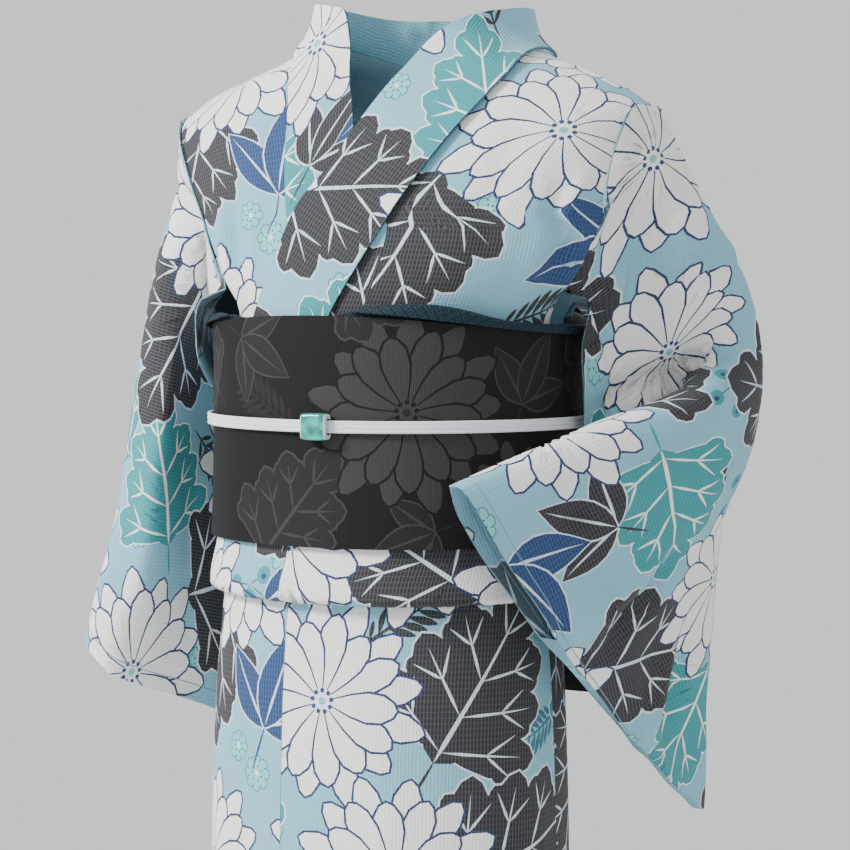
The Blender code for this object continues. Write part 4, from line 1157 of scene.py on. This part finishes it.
def panel_grid(side, cols=33, over_rows=9):
    """One body panel, from the front hem over the shoulder to the back hem."""
    sign = SIGN[side]
    edges = PANEL_EDGES[side]
    u = np.linspace(0, 1, cols)
    rows = []
    prof = profile()
    for row in prof:
        inner, outer, _ = ease(row[0], edges[:, 0], edges[:, 1:])
        rows.append(layered(inner + GAP + (outer - 2 * GAP - inner) * u, row, side, sign))
    # over the shoulder, from the yoke in front to the yoke behind
    neck_x, arm_x = SHOULDER[side]
    top_x = neck_x + (arm_x - neck_x) * u
    inner, outer, back_out = ease(YOKE_Z, edges[:, 0], edges[:, 1:])
    front = form(sign * (inner + (outer - inner) * u), np.full(cols, YOKE_Z))
    back_z = NAPE_Z + (YOKE_Z - NAPE_Z) * u ** 0.8
    back = form(sign * (180 - GAP - (180 - back_out) * u), back_z)
    tops = [ridge(sign * x) for x in top_x]
    up = np.stack([drape(True, front[c], tops[c], over_rows + 1) for c in range(cols)], 1)
    down = np.stack([drape(False, back[c], tops[c], over_rows + 1) for c in range(cols)], 1)
    over = over_share(inner + (outer - inner) * u, side)
    for k in range(1, over_rows + 1):
        fade = 1 - smooth(0, 0.75, k / over_rows)
        off = SHOULDER_OFF + (0.0055 * over - 0.0005) * fade
        rows.append(off_form(up[k], off[:, None]))
    rows += [off_form(down[k], SHOULDER_OFF) for k in range(over_rows - 1, -1, -1)]
    # from the yoke behind to the belt, then down to the hem
    for z in (-0.165, BACK_Z):
        share = (z - YOKE_Z) / (BACK_Z - YOKE_Z)
        _, _, outer = ease(z, edges[:, 0], edges[:, 1:])
        base = form(sign * (180 - GAP - (180 - outer) * u), back_z + (BACK_Z - back_z) * share)
        rows.append(off_form(base, SHOULDER_OFF + 0.0015 * share))
    for row in prof[-1 - YOKE_ROWS::-1]:
        _, _, outer = ease(row[0], edges[:, 0], edges[:, 1:])
        angle = 180 - GAP - (180 - GAP * 2 - outer) * u
        rows.append(layered(angle, (row[0], row[1], row[0], row[1]), "right", sign))
    return refine(np.stack(rows), PANEL_STEP)


def overlap_grid(side, cols=17):
    """One overlap panel, from the hem to its point at the collar."""
    edges = PANEL_EDGES[side]
    free = OVERLAP_EDGE[side]
    u = np.linspace(0, 1, cols)
    rows = []
    for row in profile():
        if row[0] > OVERLAP_TOP:
            row = (OVERLAP_END, row[1], OVERLAP_END, row[3])
        # above the waist fold the seam is left a little wider
        gap = GAP * (3 if row[0] > -0.40 else 1)
        seam = ease(row[0], edges[:, 0], edges[:, 1]) - gap
        edge = ease(row[0], free[:, 0], free[:, 1])
        rows.append(layered(seam + (edge - seam) * u, row, side, SIGN[side]))
    return refine(np.stack(rows), OVERLAP_STEP)


def collar_grid(rows=190, cols=9):
    """The collar band, round the neck and down both fronts."""
    run = run_along(COLLAR[:, :6].reshape(-1, 2, 3).mean(1))
    table = ease(np.linspace(0, run[-1], rows), run, COLLAR)
    w = np.linspace(0, 1, cols)[None, :, None]
    sewn, free = table[:, None, 0:3], table[:, None, 3:6]
    lift, hug = table[:, 6:7], table[:, 7:8]
    grid = sewn + (free - sewn) * w
    bow = 4 * w * (1 - w) * COLLAR_BOW
    mid = unit(grid.mean(1, keepdims=True) * np.array([1, 1, 0]))
    grid = grid + mid * bow * (1 - hug[:, None])
    return clear_of_form(grid, lift, hug)


def sleeve_grid(side, cols=97, rows=60):
    """A sleeve as a tube: rows from the armhole to the cuff, columns round it."""
    loops = [armhole_loop(side)] + [section_loop(row) for row in SLEEVES[side]["rows"]]
    loops = np.stack([resample(loop, cols) for loop in loops])
    run = run_along(loops.mean(1))
    stations = run[-1] * np.linspace(0, 1, rows)
    grid = ease(stations, run, loops)
    # the drop's lower corner is rounded towards the cuff
    share = np.clip((stations / run[-1] - 0.80) / 0.20, 0, 1)
    cut = CORNER * (1 - np.sqrt(1 - share ** 2))
    half = cols / 2 - 0.5
    away = np.arange(cols) - half
    for r in np.flatnonzero(cut > 0):
        grid[r] = ease(half + away * (1 - cut[r]), np.arange(cols), grid[r])
    # below the hand the two layers come together along the cuff's edge
    shut = 1 - smooth(CUFF_OPEN - 0.12, CUFF_OPEN + 0.02, 1 - np.abs(away) / half)
    near = smooth(run[-1] - 0.050, run[-1], stations)
    pinch = 0.5 * near[:, None, None] * shut[None, :, None]
    return grid + (grid[:, ::-1] - grid) / 2 * pinch


def strip_grid(section, half, cols=25):
    """A piece of belt hanging behind: its section carried across its width."""
    x = np.linspace(-half, half, cols)
    rows = [np.stack([x, BELT_BACK + back - 0.30 * x ** 2, np.full(cols, z)], -1)
            for back, z in section]
    return refine(np.stack(rows), BELT_STEP)


def band_grid(cols=13):
    """The belt's band, rows round the body and columns up it."""
    angle, z = np.meshgrid(np.linspace(-180, 180, 145), np.linspace(BELT_LOW, BELT_TOP, cols),
                           indexing="ij")
    return off_form(form(angle, z), BELT_OFF)


def scarf_grid(count=361):
    """The scarf tucked in above the belt: up behind it, rolled over and down."""
    angle = np.linspace(-180, 180, count)
    crest = ease(angle, SCARF[:, 0], SCARF[:, 1])
    roll = smooth(-0.2028, -0.1984, crest)
    rows = []
    for a, top, r in zip(angle, crest, roll):
        # each point's height where the scarf lies flat, where it is rolled, and
        # how far the roll carries it out
        steps = [(top - 0.006, top - 0.004, 0.0006), (top - 0.003, top, 0.0036),
                 (top - 0.0015, top - 0.0035, 0.0069), (top, max(top - 0.010, -0.2030), 0.0079)]
        run = [(-0.226, SCARF_OFF), (top - 0.012, SCARF_OFF)]
        run += [(flat + (over - flat) * r, SCARF_OFF + r * out) for flat, over, out in steps]
        fine = ease(np.linspace(0, 5, 21), np.arange(6), np.array(run))
        rows.append(off_form(form(a, fine[:, 0]), fine[:, 1:]))
    return np.array(rows)


def cord_path(count=360):
    """Middle line of the cord: round the belt, then through the drum."""
    points = []
    for a in np.linspace(-96, 96, 33):
        rise = 0.0014 * math.exp(-((a - BEAD_ANGLE) / 9.0) ** 2)
        off = BELT_OFF + BELT_WALL / 2 + 0.0028 + rise
        points.append(off_form(form(a, BRAID_Z), off))
    depth = BELT_BACK + 0.0218
    turn_in = [(0.152, 0.050), (0.1605, 0.092), (0.162, depth - 0.009), (0.150, depth - 0.001)]
    through = turn_in + [(x, depth) for x in (0.07, 0.0, -0.07)]
    through += [(-x, y) for x, y in turn_in[::-1]]
    points = np.array(points + [np.array([x, y, BRAID_Z]) for x, y in through] + points[:1])
    run = run_along(points)
    return ease(np.linspace(0, run[-1], count, endpoint=False), run, points)


# ----------------------------------------------------------------- materials
COTTON_RIBS = (0.0027, 0.0042)      # pitch of the ribs along the bolt and across it
SASH_THREAD = 0.0016
SCARF_LATTICE = 0.0070
BRAID_STRAND = 0.0022
BRAID_GROOVE = 0.0055
BEAD_HALF = 0.0100                  # half the bead's width and height


class Value:
    """A number in a material; sums of these make the maths nodes."""

    def __init__(self, tree, socket):
        self.tree, self.socket = tree, socket

    def maths(self, operation, *others):
        node = self.tree.nodes.new("ShaderNodeMath")
        node.operation = operation
        for slot, value in zip(node.inputs, (self, *others)):
            if isinstance(value, Value):
                self.tree.links.new(value.socket, slot)
            else:
                slot.default_value = value
        return Value(self.tree, node.outputs[0])

    def __add__(self, other):
        return self.maths("ADD", other)

    def __sub__(self, other):
        return self.maths("SUBTRACT", other)

    def __mul__(self, other):
        return self.maths("MULTIPLY", other)

    def __truediv__(self, other):
        return self.maths("DIVIDE", other)

    def __pow__(self, other):
        return self.maths("POWER", other)

    def __rsub__(self, other):
        return self * -1.0 + other

    def __rtruediv__(self, other):
        return self ** -1.0 * other

    __radd__ = __add__
    __rmul__ = __mul__

    def step(self, low, high):
        """0 below low, 1 above high."""
        t = ((self - low) / (high - low)).maths("MAXIMUM", 0.0).maths("MINIMUM", 1.0)
        return t * t * (3.0 - 2.0 * t)


class Recipe:
    """A material and the nodes that make it."""

    def __init__(self, name, rough, **constants):
        self.mat = bpy.data.materials.new(name)
        self.mat.use_nodes = True
        self.tree = self.mat.node_tree
        self.shader = self.tree.nodes["Principled BSDF"]
        self.feed(self.shader.inputs["Roughness"], rough)
        for key, value in constants.items():
            self.feed(self.shader.inputs[key.replace("_", " ")], value)

    def feed(self, slot, value):
        if isinstance(value, Value):
            self.tree.links.new(value.socket, slot)
        elif isinstance(value, bpy.types.NodeSocket):
            self.tree.links.new(value, slot)
        else:
            slot.default_value = value

    def node(self, kind, settings=None, **sockets):
        node = self.tree.nodes.new("ShaderNode" + kind)
        for key, value in (settings or {}).items():
            setattr(node, key, value)
        for key, value in sockets.items():
            self.feed(node.inputs[key.replace("_", " ")], value)
        return node

    def value(self, node, output=0):
        return Value(self.tree, node.outputs[output])

    def carried(self, name, output):
        """What the mesh carries under a name."""
        return self.node("Attribute", {"attribute_name": name}).outputs[output]

    def flat(self):
        """Place on the cloth laid flat, in metres."""
        where = self.carried("flat", "Vector")
        parts = self.node("SeparateXYZ", Vector=where)
        return self.value(parts, 0), self.value(parts, 1), where

    def noise(self, vector, scale, detail=2.0):
        node = self.node("TexNoise", {"noise_dimensions": "3D"}, Vector=vector, Scale=scale,
                         Detail=detail, Roughness=0.5)
        return self.value(node)

    def mix(self, share, first, second, blend="MIX"):
        node = self.node("Mix", {"data_type": "RGBA", "blend_type": blend})
        for index, value in ((0, share), (6, first), (7, second)):
            self.feed(node.inputs[index], value)
        return node.outputs[2]

    def shaded(self, ink, shade):
        """An ink made darker or lighter by a number."""
        grey = self.node("CombineColor", Red=shade, Green=shade, Blue=shade).outputs[0]
        return self.mix(1.0, ink, grey, "MULTIPLY")

    def bump(self, height, distance):
        node = self.node("Bump", Height=height, Distance=distance, Strength=0.8)
        self.feed(self.shader.inputs["Normal"], node.outputs[0])

    def colour(self, value):
        self.feed(self.shader.inputs["Base Color"], value)


def ridges(place, pitch, sharp):
    """Narrow rounded ridges at an even pitch."""
    return ((place * (2 * math.pi / pitch)).maths("SINE") * 0.5 + 0.5) ** sharp


def printed_cotton():
    """Leno cotton: ribs both ways, slubs in the yarn and uneven dye."""
    r = Recipe("printed cotton", 0.86, Specular_IOR_Level=0.25, Sheen_Weight=0.06)
    s, t, flat = r.flat()
    along_rib = ridges(s, COTTON_RIBS[0], 2.0)
    across_rib = ridges(t, COTTON_RIBS[1], 5.0)
    rib = along_rib.maths("MAXIMUM", across_rib * 0.7)
    slub = r.noise(flat, 900.0)
    dye = r.noise(flat, 22.0, 3.0)
    paler = r.mix(rib * 0.06 + slub * 0.03, r.carried("ink", "Color"), srgb(226, 234, 240))
    shade = (dye - 0.5) * 0.10 + (slub - 0.5) * 0.10 + rib * 0.04 + 0.97
    r.colour(r.shaded(paler, shade))
    r.bump(rib * 0.7 + slub * 0.5, 0.00035)
    return r.mat


def sash_weave():
    """Brocade: fine threads across the belt."""
    r = Recipe("sash weave", 0.62, Specular_IOR_Level=0.20)
    _, t, flat = r.flat()
    thread = ridges(t, SASH_THREAD, 1.0)
    slub = r.noise(flat, 1400.0)
    r.colour(r.shaded(r.carried("ink", "Color"), thread * 0.35 + slub * 0.5 + 0.60))
    r.bump(thread * 0.5 + slub * 0.6, 0.00030)
    return r.mat


def scarf_silk():
    """A woven lattice of small diamonds, each with a dot."""
    r = Recipe("scarf silk", 0.6, Specular_IOR_Level=0.25, Sheen_Weight=0.05)
    s, t, _ = r.flat()
    u, v = ((way / SCARF_LATTICE).maths("FRACT") - 0.5 for way in (s + t, s - t))
    cell = u.maths("ABSOLUTE").maths("MAXIMUM", v.maths("ABSOLUTE"))
    raised = cell.step(0.36, 0.44).maths("MAXIMUM", 1.0 - cell.step(0.10, 0.18))
    r.colour(r.mix(raised, srgb(4, 44, 56), srgb(2, 14, 28)))
    r.bump(raised, 0.0004)
    return r.mat


def cord_braid():
    """Strands slanting out from the braid's middle."""
    r = Recipe("cord braid", 0.6, Specular_IOR_Level=0.35)
    s, t, _ = r.flat()
    slant = (t - BRAID_GROOVE).maths("ABSOLUTE") * 0.9
    strand = ridges(s + slant, BRAID_STRAND, 1.0)
    r.colour(r.mix(strand, srgb(214, 212, 222), srgb(246, 246, 250)))
    r.bump(strand, 0.0003)
    return r.mat


def bead_glaze():
    """Cloudy glaze that thins to pale at the bead's two ends."""
    r = Recipe("bead glaze", 0.12, Coat_Weight=0.6, Coat_Roughness=0.05)
    along, _, where = r.flat()
    cloud = r.noise(where, 120.0, 4.0)
    glaze = r.mix(cloud.step(0.35, 0.70), srgb(14, 118, 108), srgb(62, 184, 168))
    end = along.maths("ABSOLUTE").step(BEAD_HALF - 0.0010, BEAD_HALF - 0.0004)
    r.colour(r.mix(end, glaze, srgb(206, 222, 214)))
    return r.mat


def painted_floor():
    r = Recipe("floor", 0.9)
    r.colour(srgb(225, 225, 225))
    return r.mat


# --------------------------------------------------------------------- stage
def camera():
    """A long lens, low, from the wearer's left."""
    bearing, away, height = math.radians(29), 2.2, -0.169
    data = bpy.data.cameras.new("camera")
    data.sensor_width = 36.0
    data.lens = 119.26
    data.shift_x = 10 / 850
    obj = placed("camera", data)
    obj.location = (away * math.sin(bearing), -away * math.cos(bearing), height)
    obj.rotation_euler = (math.pi / 2 - math.atan2(159, 2816), 0, bearing)
    bpy.context.scene.camera = obj


def lamp(name, at, aim, size, power):
    data = bpy.data.lights.new(name, "AREA")
    data.shape = "RECTANGLE"
    data.size, data.size_y = size
    data.energy = power
    obj = placed(name, data)
    obj.location = at
    obj.rotation_euler = (Vector(aim) - Vector(at)).to_track_quat("-Z", "Y").to_euler()


def stage():
    """Floor, lamps and even light all round."""
    camera()
    bpy.ops.mesh.primitive_circle_add(vertices=96, radius=2.6, fill_type="NGON",
                                      location=(0, 0, FLOOR_Z))
    floor = bpy.context.object
    floor.name = "floor"
    floor.data.materials.append(painted_floor())
    lamp("key", (-1.7, -2.1, 1.4), (0, 0, -0.35), (0.8, 0.8), 170)
    lamp("fill", (2.6, -1.2, 0.5), (0, 0, -0.4), (1.6, 2.0), 5)
    lamp("back", (-0.6, 2.4, 1.2), (0, 0, -0.3), (1.6, 1.6), 16)
    world = bpy.data.worlds.new("world")
    bpy.context.scene.world = world
    world.use_nodes = True
    sky = world.node_tree.nodes["Background"]
    sky.inputs["Color"].default_value = (0.93, 0.94, 0.95, 1)
    sky.inputs["Strength"].default_value = 1.00


# -------------------------------------------------------------------- pieces
def dress(obj, node):
    """The piece stands for its solid, which is hidden, and rides on the root."""
    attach(obj, "root")
    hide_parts(node)
    return obj


PLACES = {
    # where each piece is cut from the bolt: across, along
    "panel_left": (0.03, 0.10),
    "panel_right": (0.20, 0.50),
    "overlap_left": (0.20, 0.35),
    "overlap_right": (0.0, 0.2),
    "collar": (0.10, 0.30),
    "sleeve_left": (0.12, 0.62),
    "sleeve_right": (0.02, 0.40),
    "obi_band": (0.02, 0.04),
    "obi_drum": (0.0, 0.10),
    "obi_tail": (0.0, 0.22),
    "obi_hand": (0.1, 0.05),
}
CREASES = {
    # half width, height (below 0 a trough), then the spots it runs through
    "sleeve_left": [
        (0.010, 0.0084, (-0.007, 0.413), (0.002, 0.385), (0.015, 0.364), (0.048, 0.347)),
        (0.009, -0.0077, (0.004, 0.416), (0.021, 0.390), (0.032, 0.371), (0.052, 0.359)),
        (0.012, -0.0070, (0.031, 0.422), (0.048, 0.395), (0.053, 0.377)),
        (0.012, 0.0056, (0.064, 0.441), (0.071, 0.406), (0.073, 0.389)),
        (0.010, 0.0084, (0.112, 0.456), (0.105, 0.423), (0.099, 0.389), (0.082, 0.350)),
        (0.011, -0.0091, (0.122, 0.460), (0.117, 0.425), (0.114, 0.400)),
        (0.009, -0.0098, (0.219, 0.449), (0.200, 0.410), (0.182, 0.369), (0.151, 0.313)),
        (0.010, 0.0084, (0.243, 0.456), (0.225, 0.415), (0.206, 0.375), (0.172, 0.318)),
        (0.010, -0.0105, (0.330, 0.590), (0.357, 0.605), (0.389, 0.609), (0.417, 0.621)),
        (0.014, 0.0091, (0.331, 0.556), (0.366, 0.571), (0.399, 0.580), (0.428, 0.587)),
        (0.009, -0.0091, (0.445, 0.563), (0.448, 0.590), (0.432, 0.622)),
        (0.012, 0.0084, (0.347, 0.668), (0.378, 0.705), (0.398, 0.726)),
        (0.011, -0.0084, (0.333, 0.685), (0.352, 0.735), (0.375, 0.763)),
        (0.016, -0.0056, (0.376, 0.483), (0.404, 0.502), (0.429, 0.511)),
        (0.016, 0.0049, (0.284, 0.524), (0.309, 0.568), (0.321, 0.601)),
        (0.012, 0.0063, (0.120, 0.300), (0.150, 0.250), (0.185, 0.215)),
        (0.011, -0.0063, (0.135, 0.310), (0.170, 0.262), (0.205, 0.232)),
        (0.014, -0.0070, (0.300, 0.310), (0.350, 0.290), (0.400, 0.295)),
        (0.015, 0.0063, (0.270, 0.190), (0.320, 0.180), (0.380, 0.150)),
    ],
    "sleeve_right": [
        (0.012, 0.0045, (0.086, 0.429), (0.139, 0.415), (0.186, 0.414), (0.235, 0.412)),
        (0.010, -0.0040, (0.129, 0.396), (0.184, 0.393), (0.233, 0.383)),
        (0.014, -0.0040, (0.282, 0.419), (0.345, 0.416), (0.404, 0.403)),
        (0.016, 0.0045, (0.292, 0.386), (0.354, 0.380), (0.418, 0.375), (0.458, 0.355)),
        (0.012, -0.0040, (0.313, 0.343), (0.378, 0.334), (0.444, 0.317)),
        (0.013, -0.0040, (0.110, 0.500), (0.180, 0.510), (0.250, 0.525)),
        (0.014, 0.0045, (0.180, 0.545), (0.260, 0.560), (0.350, 0.555)),
        (0.013, -0.0045, (0.270, 0.600), (0.340, 0.595), (0.420, 0.610)),
    ],
    "panel_right": [
        (0.009, 0.0040, (0.086, 1.470), (0.078, 1.428), (0.077, 1.383)),
        (0.008, -0.0045, (0.070, 1.460), (0.062, 1.420), (0.058, 1.374)),
        (0.010, -0.0025, (0.016, 1.500), (0.028, 1.450), (0.034, 1.383)),
        (0.018, 0.0022, (0.110, 0.820), (0.120, 0.600), (0.105, 0.350)),
        (0.020, -0.0022, (0.060, 0.760), (0.052, 0.500), (0.070, 0.220)),
        (0.010, 0.0035, (0.060, 1.700), (0.075, 1.780), (0.070, 1.860)),
        (0.010, -0.0035, (0.100, 1.690), (0.110, 1.770), (0.098, 1.850)),
        (0.018, 0.0025, (0.120, 2.420), (0.105, 2.700), (0.115, 3.050)),
        (0.020, -0.0025, (0.050, 2.450), (0.065, 2.760), (0.055, 3.100)),
    ],
    "panel_left": [
        (0.009, 0.0045, (0.131, 1.477), (0.142, 1.433), (0.149, 1.382)),
        (0.008, -0.0045, (0.122, 1.467), (0.130, 1.433), (0.134, 1.382)),
        (0.011, 0.0035, (0.118, 1.440), (0.114, 1.409), (0.112, 1.372)),
        (0.012, -0.0025, (0.064, 1.512), (0.078, 1.458), (0.076, 1.400)),
        (0.018, 0.0022, (0.080, 0.800), (0.095, 0.560), (0.085, 0.300)),
        (0.020, -0.0022, (0.140, 0.780), (0.150, 0.520), (0.135, 0.260)),
        (0.010, 0.0035, (0.075, 1.690), (0.060, 1.770), (0.070, 1.850)),
        (0.010, -0.0035, (0.115, 1.700), (0.105, 1.780), (0.120, 1.840)),
        (0.018, 0.0025, (0.100, 2.430), (0.120, 2.720), (0.105, 3.080)),
        (0.020, -0.0025, (0.045, 2.400), (0.055, 2.690), (0.040, 3.020)),
    ],
    "overlap_left": [
        (0.018, 0.0020, (0.070, 0.780), (0.080, 0.500), (0.070, 0.200)),
    ],
    "overlap_right": [
        (0.018, -0.0015, (0.060, 0.780), (0.050, 0.450), (0.060, 0.160)),
    ],
    "obi_band": [
        (0.020, -0.0008, (0.030, 0.300), (0.100, 0.320), (0.150, 0.300)),
        (0.016, 0.0008, (0.020, 0.560), (0.090, 0.580), (0.140, 0.565)),
    ],
}
CUTS = [
    # side, then width, length and area of what shows of a panel, an overlap and a sleeve
    ("left", (0.25, 3.21, 0.65), (0.15, 1.50, 0.18), (0.36, 0.85, 0.207)),
    ("right", (0.24, 3.25, 0.625), (0.145, 1.47, 0.175), (0.36, 0.81, 0.212)),
]
HEM = 0.012             # a hem's turned-in edge, in from the cloth's edge, where a painted shade line runs
HEM_SHADE_WIDTH = 0.0008         # width of the painted shade line along a hem's turned-in edge
HEM_SHADE_END = 0.002      # its ends, in from the sides
SLEEVE_PLACE = np.array([0.12, 0.45])       # added to a sleeve's places laid flat
BEHIND = np.array([0.0, 1.0, 0.0])
UP = np.array([0.0, 0.0, 1.0])


def cut_sheet(node, slot, held, cut, grid, flat, mat, motifs, wrap=False, **look):
    """Crease a sheet, print it and dress it; cut is its width, length and area, which are not used.
    """
    grid = creased(grid, flat, CREASES.get(node, []), wrap)
    obj = cloth(node + "_cloth", grid, flat, mat, motifs, wrap=wrap,
                place=PLACES.get(node, (0.0, 0.0)), **look)
    dress(obj, node)
    cut[2] if len(cut) > 2 else None


def body_sheet(kind, side, grid, cut, mat, motifs):
    """A body panel or an overlap panel."""
    flat = lay_straight(grid)
    wide, long = flat.max((0, 1))
    # painted shade: darker lines in the seam ink along the hems' turned-in edges
    ends = [HEM] if kind == "overlap" else [HEM, long - HEM]
    lines = [np.array([(HEM_SHADE_END, t), (wide - HEM_SHADE_END, t)]) for t in ends]
    if kind == "overlap":
        lines.append(flat[6:-30:6, -1] - np.array([HEM, 0]))
    cut_sheet(f"{kind}_{side}", "robe_cotton", "draped", cut, *facing_out(grid, flat), mat, motifs,
              lines=[(stroke(line, HEM_SHADE_WIDTH), "seam") for line in lines])


def sleeve_sheet(side, cut, mat, motifs):
    """A sleeve, closed under the arm and along the cuff below the hand."""
    grid = sleeve_grid(side)
    rows, cols = grid.shape[:2]
    flat = lay_flat(grid)[..., ::-1] + SLEEVE_PLACE
    # painted shade: a darker line in the seam ink along the cuff hem's turned-in edge
    hem = flat[-1] + unit(flat[-5] - flat[-1]) * HEM
    last = (rows - 1) * cols
    shut = np.arange(int(cols / 2 * (1 - CUFF_OPEN)) + 1)
    up = np.arange(rows) * cols
    cut_sheet("sleeve_" + side, "robe_cotton", "draped", cut,
              *facing_out(grid, flat, grid.mean(1, keepdims=True)), mat, motifs, wrap=True,
              both=True, lines=[(stroke(hem[2:-2], HEM_SHADE_WIDTH), "seam")],
              seams=[(last + shut, last + cols - 1 - shut), (up, up + cols - 1)])


def robe(mat):
    motifs = bolt_print(3.85)
    for side, panel, overlap, sleeve in CUTS:
        body_sheet("panel", side, panel_grid(side), panel, mat, motifs)
        body_sheet("overlap", side, overlap_grid(side), overlap, mat, motifs)
        sleeve_sheet(side, sleeve, mat, motifs)
    grid = collar_grid()
    grid, flat = facing_out(grid, lay_straight(grid), grid * np.array([0, 0, 0.9]))
    cut_sheet("collar", "robe_cotton", "folded", (0.076, 0.99, 0.055), grid, flat, mat, motifs,
              wall=COLLAR_WALL, back="ground")


def belt():
    """The sash's band, drum, tail and hand."""
    mat = sash_weave()
    motifs = sash_print(0.9)
    # the tail is a little narrower than the drum, and the hand sticks out past it
    half = DRUM_WIDTH / 2
    drum = strip_grid(DRUM, half)
    tail = strip_grid(TAIL, half - 0.004)
    hand = strip_grid([(HAND_BACK, z) for z in np.linspace(*HAND_Z, 3)], 0.153)
    # each piece, what its printed face looks away from, and its cut
    pieces = [("obi_band", band_grid(), None, (0.17, 0.88)),
              ("obi_drum", drum, drum.mean((0, 1)), (0.30, 0.54)),
              ("obi_tail", tail, tail - BEHIND, (0.30, 0.18)),
              ("obi_hand", hand, hand - BEHIND, (0.12, 0.31))]
    for node, grid, middle, cut in pieces:
        cut_sheet(node, "sash_weave", "draped", cut, *facing_out(grid, lay_straight(grid), middle),
                  mat, motifs, wall=BELT_WALL, ground="sash", back="sash back")


def scarf():
    grid = scarf_grid()
    cut_sheet("obiage", "scarf_silk", "folded", (0.046, 0.90, 0.027),
              *facing_out(grid, lay_straight(grid)), scarf_silk(), [],
              wall=SCARF_WALL, ground="plain", back="plain")


def smooth_ring(points, count):
    """A closed outline through some points, with more of them."""
    loop = np.concatenate([points[-2:], points, points[:3]])
    at = np.arange(len(loop)) - 2.0
    return ease(np.arange(count) * len(points) / count, at, loop)


def cord():
    """Flat braid: two shallow grooves along its outer face."""
    path = cord_path()
    high, thick = 0.0046, 0.0019
    section = smooth_ring(np.array([
        # out, up
        (thick * 0.30, -high), (thick * 0.92, -high * 0.78), (thick * 0.70, -high * 0.34),
        (thick, 0.0), (thick * 0.70, high * 0.34), (thick * 0.92, high * 0.78),
        (thick * 0.30, high), (-thick * 0.5, high * 0.9), (-thick, high * 0.5),
        (-thick, -high * 0.5), (-thick * 0.5, -high * 0.9),
    ]), 25)
    out = unit(np.cross(np.roll(path, -1, axis=0) - np.roll(path, 1, axis=0), UP))
    points = path[:, None] + out[:, None] * section[None, :, :1] + UP * section[None, :, 1:]
    faces = [f[::-1] for f in quads(len(path), len(section), wrap=True)]
    flat = np.stack(np.broadcast_arrays(run_along(path)[:, None], section[:, 1], section[:, 0]), -1)
    obj = new_mesh("obijime_cord", points.reshape(-1, 3), faces, cord_braid(), flat)
    dress(obj, "obijime")


def rounded_loop(half_a, half_b, power, count):
    """A square outline with round corners."""
    t = np.arange(count) * 2 * math.pi / count
    c, s = np.cos(t), np.sin(t)
    return np.stack([half_a * np.sign(c) * np.abs(c) ** (2 / power),
                     half_b * np.sign(s) * np.abs(s) ** (2 / power)], -1)


def bead(count=64):
    """Square ceramic slide with a slot for the cord."""
    deep, slot_deep, slot_high, gap = 0.0056, 0.0029, 0.0059, 0.0064
    base = form(BEAD_ANGLE, BRAID_Z)
    out = form_normal(base)
    centre = base + out * (BELT_OFF + BELT_WALL / 2 + gap)
    side = unit(np.cross(UP, out))
    along = BEAD_HALF * np.sin(np.linspace(-math.pi / 2, math.pi / 2, 21))
    rings, places = [], []
    for at in along:
        swell = 0.90 + 0.10 * (1 - abs(at / BEAD_HALF) ** 7)
        loop = rounded_loop(deep, BEAD_HALF, 5.0, count) * swell
        rings.append([centre + side * at + out * a + UP * b for a, b in loop])
        places.append([(at, a, b) for a, b in loop])
    # back through the slot, which lies nearer the belt
    slot = rounded_loop(slot_deep, slot_high, 6.0, count)
    for at in along[::-1]:
        rings.append([centre + side * at * 0.98 + out * (a - 0.0023) + UP * b for a, b in slot])
        places.append([(at, a, b) for a, b in slot])
    points = np.array(rings).reshape(-1, 3)
    faces = quads(len(rings), count, wrap=True)
    a, b, c = points[list(faces[0][:3])]
    if np.dot(np.cross(b - a, c - a), a - centre) < 0:
        faces = [f[::-1] for f in faces]
    obj = new_mesh("obidome_bead", points, faces, bead_glaze(), np.array(places).reshape(-1, 3))
    dress(obj, "obidome")


stage()
robe(printed_cotton())
belt()
scarf()
cord()
bead()
